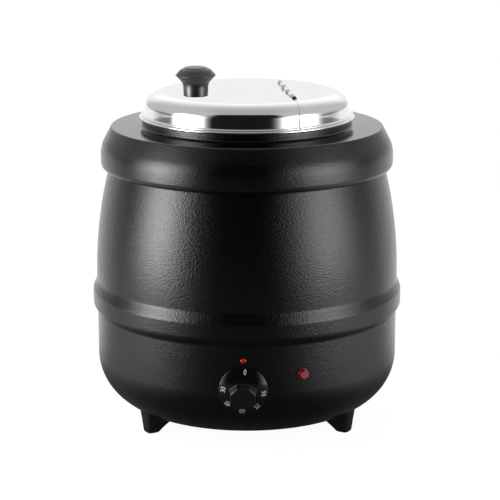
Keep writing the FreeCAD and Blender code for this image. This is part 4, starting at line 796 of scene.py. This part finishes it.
WHITE = (1.0, 1.0, 1.0, 1.0)
DIFFUSE_LEVEL, SEEN_LEVEL = 0.20, 1.0
WING_FROM, WING_TO, WING_LEVEL = 0.25, 0.60, 0.62       # sideways share of a direction, and the level there
OVER_STOPS = [
    (0.0, 1.0), (0.05, 1.0), (0.075, 1.15), (0.128, 1.27), (0.20, 1.13), (0.275, 0.92), (0.39, 0.63),
    (0.47, 0.50), (0.60, 0.49), (0.68, 0.45), (1.0, 0.45),
]
FRONT_STOPS = [(0.0, 0.0), (0.67, 0.0), (0.70, 0.978), (1.0, 0.978)]
NEAR_STOPS = [(0.0, 1.0), (0.21, 1.0), (0.28, 0.0), (1.0, 0.0)]
BESIDE_STOPS = [(0.0, 0.0), (0.80, 0.0), (0.95, 0.65), (1.0, 0.65)]
LOW_STOPS = [(0.0, 1.0), (0.06, 1.0), (0.25, 0.0), (1.0, 0.0)]

world = bpy.data.worlds.new("studio")
bpy.context.scene.world = world
world.use_nodes = True
sky = world.node_tree
ray = node(sky, "ShaderNodeLightPath").outputs
way = node(sky, "ShaderNodeTexCoord").outputs["Generated"]
x, y, z = node(sky, "ShaderNodeSeparateXYZ", {0: way}).outputs
rise = maths(sky, "ABSOLUTE", z)
aside = maths(sky, "ABSOLUTE", x)
overhead = half_turns(sky, rise, y)
from_front = half_turns(sky, aside, maths(sky, "MULTIPLY", y, -1.0))
dark = maths(sky, "MULTIPLY", ramp_of(sky, overhead, FRONT_STOPS), ramp_of(sky, from_front, NEAR_STOPS))
shade = maths(sky, "MULTIPLY", ramp_of(sky, aside, BESIDE_STOPS), ramp_of(sky, rise, LOW_STOPS))
bright = maths(sky, "SUBTRACT", 1.0, maths(sky, "MAXIMUM", dark, shade))
wing = mapped(sky, aside, WING_FROM, WING_TO, curve="SMOOTHSTEP")
level = mixed(sky, wing, ramp_of(sky, overhead, OVER_STOPS), WING_LEVEL)
room = maths(sky, "MULTIPLY", level, bright)
mirrored = maths(sky, "MAXIMUM", ray["Is Glossy Ray"], ray["Is Transmission Ray"])
lit = mixed(sky, mirrored, DIFFUSE_LEVEL, room)
seen = mixed(sky, ray["Is Camera Ray"], lit, SEEN_LEVEL)
sky.links.new(seen, sky.nodes["Background"].inputs["Strength"])
sky.nodes["Background"].inputs["Color"].default_value = WHITE
bpy.context.scene.view_settings.view_transform = "Standard"
print("room:", world.name)

# %% [markdown]
# The floor is pale paint that keeps the kettle's shadow. Mirror rays see it white in the distance, dark close
# to the kettle and dark towards the camera, which gives the barrel's lower half its upright highlights.

# %% Floor
FLOOR_SPAN = 14.0                           # metres from the middle to each side
FLOOR_SEEN = 0.95                           # glow for the camera
SHADE_FROM, SHADE_TO, SHADE_LEVEL = 0.17, 0.45, 0.05    # distance from the axis, and the level close by
FLOOR_STOPS = [
    (0.0, 1.0), (0.29, 1.0), (0.40, 0.50), (0.50, 0.85), (0.61, 1.15), (0.72, 0.6), (0.80, 0.12),
    (0.88, 0.02), (1.0, 0.02),
]
floor_paint, floor_tree, floor_shader = finish("pale_floor_paint", "#565656", Roughness=0.9)
floor_mesh = bpy.data.meshes.new("floor")
floor_corners = [(i * FLOOR_SPAN, j * FLOOR_SPAN, 0.0) for i, j in ((-1, -1), (1, -1), (1, 1), (-1, 1))]
floor_mesh.from_pydata(floor_corners, [], [(0, 1, 2, 3)])
floor_mesh.materials.append(floor_paint)
floor = bpy.data.objects.new("floor", floor_mesh)
bpy.context.scene.collection.objects.link(floor)
floor_ray = node(floor_tree, "ShaderNodeLightPath").outputs
floor_place = node(floor_tree, "ShaderNodeTexCoord").outputs["Object"]
floor_way = node(floor_tree, "ShaderNodeSeparateXYZ", {0: floor_place}).outputs
from_back = half_turns(floor_tree, maths(floor_tree, "ABSOLUTE", floor_way["X"]), floor_way["Y"])
reach = node(floor_tree, "ShaderNodeVectorMath", {0: floor_place}, operation="LENGTH").outputs["Value"]
close_by = mapped(floor_tree, reach, SHADE_FROM, SHADE_TO, low=SHADE_LEVEL, curve="SMOOTHSTEP")
floor_level = maths(floor_tree, "MULTIPLY", ramp_of(floor_tree, from_back, FLOOR_STOPS), close_by)
bounce = maths(floor_tree, "MAXIMUM", floor_ray["Is Glossy Ray"], floor_ray["Is Transmission Ray"])
floor_glow = maths(floor_tree, "MULTIPLY_ADD", floor_ray["Is Camera Ray"], FLOOR_SEEN,
                   maths(floor_tree, "MULTIPLY", bounce, floor_level))
floor_tree.links.new(floor_glow, floor_shader.inputs["Emission Strength"])
floor_shader.inputs["Emission Color"].default_value = WHITE
print("floor:", floor.name)
